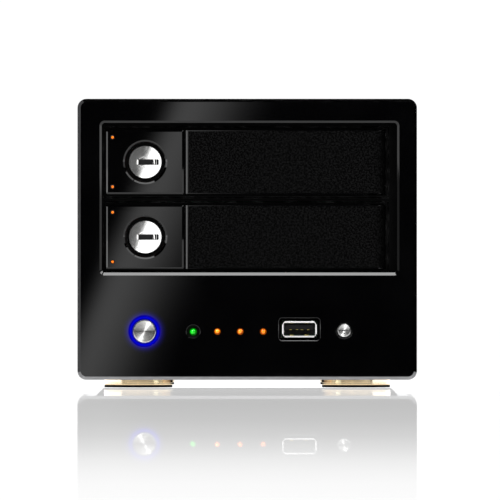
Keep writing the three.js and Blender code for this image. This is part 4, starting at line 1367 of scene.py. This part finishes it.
def build_floor():
    me = bpy.data.meshes.new("floor")
    s = 14.0
    me.from_pydata([(-s, -s, 0), (s, -s, 0), (s, s, 0), (-s, s, 0)], [], [(0, 1, 2, 3)])
    o = bpy.data.objects.new("floor", me)
    scene.collection.objects.link(o)
    m = bpy.data.materials.new("floor")
    m.use_nodes = True
    t = m.node_tree
    t.nodes.clear()
    out = t.nodes.new("ShaderNodeOutputMaterial")
    co = t.nodes.new("ShaderNodeTexCoord")
    sep = t.nodes.new("ShaderNodeSeparateXYZ")
    t.links.new(co.outputs["Object"], sep.inputs[0])
    away = t.nodes.new("ShaderNodeMath")  # distance in front of the fascia
    away.operation = "SUBTRACT"
    away.inputs[0].default_value = Y0
    t.links.new(sep.outputs[1], away.inputs[1])
    norm = t.nodes.new("ShaderNodeMath")
    norm.operation = "DIVIDE"
    t.links.new(away.outputs[0], norm.inputs[0])
    norm.inputs[1].default_value = 3.2
    ramp = t.nodes.new("ShaderNodeValToRGB")
    t.links.new(norm.outputs[0], ramp.inputs[0])
    table = [(0.0, 0.47), (0.701, 0.488), (1.263, 0.446), (1.728, 0.368), (2.027, 0.277), (2.293, 0.178), (2.529, 0.114), (2.741, 0.072), (2.933, 0.055), (3.2, 0.0)]
    el = ramp.color_ramp.elements
    while len(el) > 1:
        el.remove(el[-1])
    el[0].position = 0.0
    el[0].color = (table[0][1],) * 3 + (1,)
    for dist, v in table[1:]:
        e = el.new(dist / 3.2)
        e.color = (v, v, v, 1)
    lw = t.nodes.new("ShaderNodeLayerWeight")
    lw.inputs["Blend"].default_value = 0.5
    steep = t.nodes.new("ShaderNodeMapRange")
    t.links.new(lw.outputs["Facing"], steep.inputs[0])
    for k, v in zip((1, 2, 3, 4), (0.5, 0.97, 0.12, 1.0)):
        steep.inputs[k].default_value = v
    fac = t.nodes.new("ShaderNodeMath")
    fac.operation = "MULTIPLY"
    t.links.new(ramp.outputs[0], fac.inputs[0])
    t.links.new(steep.outputs[0], fac.inputs[1])
    def lane(socket, a, b):
        n = t.nodes.new("ShaderNodeMapRange")
        n.interpolation_type = "SMOOTHSTEP"
        t.links.new(socket, n.inputs[0])
        for k, v in zip((1, 2, 3, 4), (a, b, 0.0, 1.0)):
            n.inputs[k].default_value = v
        return n.outputs[0]

    def times(a, b):
        n = t.nodes.new("ShaderNodeMath")
        n.operation = "MULTIPLY"
        t.links.new(a, n.inputs[0])
        t.links.new(b, n.inputs[1])
        return n.outputs[0]

    # only a lane in front of the case is polished
    zone = times(times(lane(sep.outputs[0], -0.12, -0.09), lane(sep.outputs[0], 0.12, 0.09)), lane(away.outputs[0], -0.002, 0.0))
    polish = times(fac.outputs[0], zone)
    dif = t.nodes.new("ShaderNodeBsdfDiffuse")
    dif.inputs[0].default_value = (0.92, 0.92, 0.92, 1)
    gl = t.nodes.new("ShaderNodeBsdfGlossy")
    gl.inputs["Color"].default_value = (1, 1, 1, 1)
    gl.inputs["Roughness"].default_value = 0.0
    mix = t.nodes.new("ShaderNodeMixShader")
    t.links.new(polish, mix.inputs[0])
    t.links.new(dif.outputs[0], mix.inputs[1])
    t.links.new(gl.outputs[0], mix.inputs[2])

    def op(kind, a, b=0.0):
        n = t.nodes.new("ShaderNodeMath")
        n.operation = kind
        for s, v in zip(n.inputs, (a, b)):
            if isinstance(v, bpy.types.NodeSocket):
                t.links.new(v, s)
            else:
                s.default_value = v
        return n.outputs[0]

    # distance outside the case's footprint, and the share of sky the case hides there; the floor glows by that share as
    # painted light that fills in the case's shadow
    dx = op("MAXIMUM", op("SUBTRACT", op("ABSOLUTE", sep.outputs[0]), 0.068), 0.0)
    dy = op("MAXIMUM", op("SUBTRACT", op("ABSOLUTE", op("SUBTRACT", sep.outputs[1], Y0 + 0.1)), 0.1), 0.0)
    q2 = op("ADD", op("MULTIPLY", dx, dx), op("MULTIPLY", dy, dy))
    q = op("SQRT", q2)
    hidden = op("SUBTRACT", 0.5, op("MULTIPLY", 0.5, op("DIVIDE", q, op("SQRT", op("ADD", q2, 0.0132)))))
    under = op("LESS_THAN", q, 0.0005)
    em = t.nodes.new("ShaderNodeEmission")
    t.links.new(op("ADD", op("MULTIPLY", hidden, 0.88), op("MULTIPLY", under, 0.5)), em.inputs[1])
    add = t.nodes.new("ShaderNodeAddShader")
    # painted fill light on the floor round and under the case, kept out of the polished lane
    shadow_fill_glow = t.nodes.new("ShaderNodeMixShader")
    t.links.new(polish, shadow_fill_glow.inputs[0])
    t.links.new(em.outputs[0], shadow_fill_glow.inputs[1])
    t.links.new(mix.outputs[0], add.inputs[0])
    t.links.new(shadow_fill_glow.outputs[0], add.inputs[1])
    t.links.new(add.outputs[0], out.inputs[0])
    o.data.materials.append(m)
    return o


def named(*names):
    return [bpy.data.objects[n] for n in names]


plugs = named(*[p + w for p in ("lock_plug_core_", "lock_wards_") for w in ("upper", "lower")])
buttons = named("power_button_cap", "copy_button_cap")
mouth = named("front_usb_mouth")
feet_left = named("foot_disc_front_left")
feet_right = named("foot_disc_front_right")

lamps = named(*[n + "_lens" for n in LAMP])
locks = named("lock_block_upper", "lock_block_lower")
shell = named("fascia_shell")
floor = build_floor()
handles = named("handle_skin_upper", "handle_skin_lower")
area("key", (0, -500, 926), (0, 0, 60), 900, 270, 9.0, skip=buttons + plugs + locks + [floor])
area("left_strip", (-761, -247, 70), (0, 0, 60), 170, 420, 3.2, skip=buttons + plugs + [floor])
area("right_strip", (693, -400, 70), (0, 0, 60), 170, 420, 0.8, skip=buttons + plugs + [floor])
area("upper_right", (450, -636, 470), (0, 0, 23), 240, 240, 7.0, skip=buttons + plugs + [floor])
area("top_soft", (0, 500, 1000), (0, 120, 115), 900, 500, 2.6, skip=[floor])
area("back_left", (-700, 900, 500), (0, 150, 60), 500, 700, 2.2, skip=[floor])
area("back_right", (800, 800, 350), (0, 150, 60), 500, 700, 1.8, skip=[floor])
area("plug_light", (20.4, -380, 49.3), (20.4, 0, 49.3), 150, 300, 1.5, -0.372, plugs)
area("plug_fill", (-40, -385, 76), (-40, 0, 76), 500, 500, 0.1, 0, plugs)
area("usb_light", (USB_X, -380, 60), (USB_X, 0, USB_Z), 1300, 900, 1.1, 0, mouth)


def spoke(name, clock, polar, across, along, radiance):
    """A far panel seen by the turned buttons, at a clock angle and so far from straight ahead."""
    a, p = math.radians(clock), math.radians(polar)
    at = (2000 * math.sin(p) * math.sin(a), -2000 * math.cos(p), 23 + 2000 * math.sin(p) * math.cos(a))
    area(name, at, (0, 0, 23), across, along, radiance, -a, buttons)


spoke("spoke_bright", 24, 20, 260, 1000, 17.0)
spoke("spoke_soft", 0, 20, 120, 1000, 3.0)
spoke("spoke_side", 82, 20, 300, 1000, 1.6)
area("lock_key", (0, -500, 940), (0, 0, 60), 900, 120, 3.2, only=locks)
area("window_key", (0, -682, 777), (0, 0, 46), 1100, 140, 9.0, only=shell)
area("lock_arc", (620, -470, 680), (-41, 0, 75), 660, 420, 2.0, 0, locks)
area("lock_side", (-760, -500, 76), (-50, 0, 76), 240, 420, 2.6, 0, locks + handles)
area("window_right", (-640, -400, 76), (60, 0, 76), 170, 420, 0.28, 0, shell)
area("lamp_glint", (-420, -640, 560), (0, 0, 23), 420, 420, 34.0, 0, lamps)
for side in (-1, 1):
    area("recess_%s" % ("left" if side < 0 else "right"), (USB_X + side * 540, -600, 60), (USB_X, 0, 23), 200, 300, 1.6, 0, shell)
for side, feet in ((-1, feet_left), (1, feet_right)):
    fx = side * 43.7
    area("foot_outer_%s" % ("left" if side < 0 else "right"), (side * 100, 110, 13), (side * 60, 110, 13), 250, 24, 2.6, 0, feet, tint=(0.9, 1.0, 1.3))
    area("foot_inner_%s" % ("left" if side < 0 else "right"), (fx - side * 200, -60, 12), (fx, 20, 2), 110, 50, 2.4, 0, feet, tint=(0.8, 1.0, 1.1))
    area("foot_tail_%s" % ("left" if side < 0 else "right"), (fx - side * 40, 44, 2), (fx, 28, 2), 50, 3, 0.35, 0, feet, tint=(1.0, 0.72, 0.52))
    area("foot_front_%s" % ("left" if side < 0 else "right"), (fx, -300, 16), (fx, 20, 2), 520, 60, 0.6, 0, feet)

world = bpy.data.worlds.new("studio")
scene.world = world
world.use_nodes = True
wt = world.node_tree
wt.nodes.clear()
w_out = wt.nodes.new("ShaderNodeOutputWorld")
w_bg = wt.nodes.new("ShaderNodeBackground")
wt.links.new(w_bg.outputs[0], w_out.inputs[0])
path = wt.nodes.new("ShaderNodeLightPath")
co = wt.nodes.new("ShaderNodeTexCoord")
sep = wt.nodes.new("ShaderNodeSeparateXYZ")
wt.links.new(co.outputs["Generated"], sep.inputs[0])


def wmath(op, a, b=0.0):
    n = wt.nodes.new("ShaderNodeMath")
    n.operation = op
    for s, v in zip(n.inputs, (a, b)):
        if isinstance(v, bpy.types.NodeSocket):
            wt.links.new(v, s)
        else:
            s.default_value = v
    return n.outputs[0]


def wfit(v, a, b, c, d):
    n = wt.nodes.new("ShaderNodeMapRange")
    n.interpolation_type = "SMOOTHSTEP"
    wt.links.new(v, n.inputs[0])
    for k, x in zip((1, 2, 3, 4), (a, b, c, d)):
        n.inputs[k].default_value = x
    return n.outputs[0]


behind = wfit(sep.outputs[1], 0.2, 0.75, 0.0, 1.02)
left = wfit(sep.outputs[0], -0.85, -0.98, 0.0, 0.1)
gloss = wmath("ADD", behind, left)
cam_ray, gl_ray = path.outputs["Is Camera Ray"], path.outputs["Is Glossy Ray"]
rest = wmath("SUBTRACT", 1.0, wmath("MAXIMUM", cam_ray, gl_ray))
total = wmath(
    "ADD",
    wmath("ADD", wmath("MULTIPLY", cam_ray, 1.05), wmath("MULTIPLY", wmath("MULTIPLY", gl_ray, wmath("SUBTRACT", 1.0, cam_ray)), gloss)),
    wmath("MULTIPLY", rest, 1.12),
)
w_bg.inputs[0].default_value = (1, 1, 1, 1)
wt.links.new(total, w_bg.inputs[1])


# the reflected panel in front of the fascia: a soft slanted band on black
def build_card():
    dc = -400.0
    me = bpy.data.meshes.new("front_card")
    me.from_pydata(
        [(x * MM, Y0 + dc * MM, z * MM) for x, z in ((-300, 1), (300, 1), (300, 300), (-300, 300))],
        [],
        [(0, 1, 2, 3)],
    )
    o = bpy.data.objects.new("front_card", me)
    scene.collection.objects.link(o)
    m = bpy.data.materials.new("front_card")
    m.use_nodes = True
    t = m.node_tree
    t.nodes.clear()
    out = t.nodes.new("ShaderNodeOutputMaterial")
    co = t.nodes.new("ShaderNodeTexCoord")
    sep = t.nodes.new("ShaderNodeSeparateXYZ")
    t.links.new(co.outputs["Object"], sep.inputs[0])

    def mth(op, a, b):
        n = t.nodes.new("ShaderNodeMath")
        n.operation = op
        for s, v in zip(n.inputs, (a, b)):
            if isinstance(v, bpy.types.NodeSocket):
                t.links.new(v, s)
            else:
                s.default_value = v
        return n.outputs[0]

    k = 1 - dc / D
    # back from the card to the fascia's own x and z
    fx = mth("ADD", mth("DIVIDE", mth("SUBTRACT", mth("MULTIPLY", sep.outputs[0], 1000), 1.12), k), 1.12)
    fz = mth("ADD", mth("DIVIDE", mth("SUBTRACT", mth("MULTIPLY", sep.outputs[2], 1000), 55.12), k), 55.12)
    u = mth("ADD", mth("SUBTRACT", mth("MULTIPLY", fx, 2.5), fz), 190.1)
    lo, hi = -41.0, 149.0
    pos = mth("DIVIDE", mth("SUBTRACT", u, lo), hi - lo)
    ramp = t.nodes.new("ShaderNodeValToRGB")
    t.links.new(pos, ramp.inputs[0])
    ramp.color_ramp.interpolation = "B_SPLINE"
    table = [(-41, 0), (-26, 0), (-11, 0), (-1, 0.013), (9, 0.0423), (19, 0.0529), (29, 0.0497), (39, 0.0409), (49, 0.0319), (59, 0.0222), (69, 0.013), (79, 0.007), (89, 0.003), (99, 0.0012), (109, 0), (129, 0), (149, 0)]
    el = ramp.color_ramp.elements
    while len(el) > 1:
        el.remove(el[-1])
    el[0].position = 0.0
    el[0].color = (0, 0, 0, 1)
    for uu, v in table[1:]:
        e = el.new((uu - lo) / (hi - lo))
        g = v / 0.0529
        e.color = (g, g, g, 1)
    em = t.nodes.new("ShaderNodeEmission")
    t.links.new(ramp.outputs[0], em.inputs[0])
    em.inputs[1].default_value = 0.0529 / 0.04
    geo = t.nodes.new("ShaderNodeNewGeometry")
    tr = t.nodes.new("ShaderNodeBsdfTransparent")
    mix = t.nodes.new("ShaderNodeMixShader")
    t.links.new(geo.outputs["Backfacing"], mix.inputs[0])
    # the mesh's normal faces -Y, so its back looks at the fascia
    t.links.new(tr.outputs[0], mix.inputs[1])
    t.links.new(em.outputs[0], mix.inputs[2])
    t.links.new(mix.outputs[0], out.inputs[0])
    o.data.materials.append(m)
    o.visible_camera = o.visible_diffuse = o.visible_shadow = False
    o.visible_transmission = o.visible_volume_scatter = False
    return o


build_card()

# the turned and polished round parts take their own panels instead of the card
hide_from = bpy.data.collections.new("front_card_receivers")
for r in buttons + plugs:
    hide_from.objects.link(r)
front_card = bpy.data.objects["front_card"]
front_card.light_linking.receiver_collection = hide_from
for entry in hide_from.collection_objects:
    entry.light_linking.link_state = "EXCLUDE"


def build_flags():
    """Cards beside the case that keep the floor out of the side edges' reflection: black on the right, dim on the left."""
    for name, x, level in (("flag_right", 0.108, 0.0), ("flag_left", -0.108, 0.26)):
        me = bpy.data.meshes.new(name)
        me.from_pydata([(x, Y0 - 0.03, 0), (x, Y0 + 0.06, 0), (x, Y0 + 0.06, 0.2), (x, Y0 - 0.03, 0.2)], [], [(0, 1, 2, 3)])
        o = bpy.data.objects.new(name, me)
        scene.collection.objects.link(o)
        m = bpy.data.materials.new(name)
        m.use_nodes = True
        p = m.node_tree.nodes["Principled BSDF"]
        p.inputs["Base Color"].default_value = (0, 0, 0, 1)
        p.inputs["Specular IOR Level"].default_value = 0
        p.inputs["Roughness"].default_value = 1
        p.inputs["Emission Color"].default_value = (1, 1, 1, 1)
        p.inputs["Emission Strength"].default_value = level
        me.materials.append(m)
        o.visible_camera = o.visible_diffuse = o.visible_shadow = False
        o.visible_transmission = o.visible_volume_scatter = False


build_flags()


def build_strip():
    """A low black strip behind the front feet that only the floor's mirror sees: painted shade in the floor's
    reflection of the gap under the case.
    """
    me = bpy.data.meshes.new("low_strip")
    d = Y0 + 0.05
    me.from_pydata([(-0.0575, d, 0), (0.0575, d, 0), (0.0612, d, 0.0039), (-0.0612, d, 0.0039)], [], [(0, 1, 2, 3)])
    o = bpy.data.objects.new("low_strip", me)
    scene.collection.objects.link(o)
    o.data.materials.append(bpy.data.materials["flag_right"])
    o.visible_camera = o.visible_diffuse = o.visible_shadow = False
    o.visible_transmission = o.visible_volume_scatter = False


build_strip()


scene.view_settings.view_transform = "Standard"
scene.view_settings.look = "None"
scene.view_settings.exposure = 0
scene.view_settings.gamma = 1
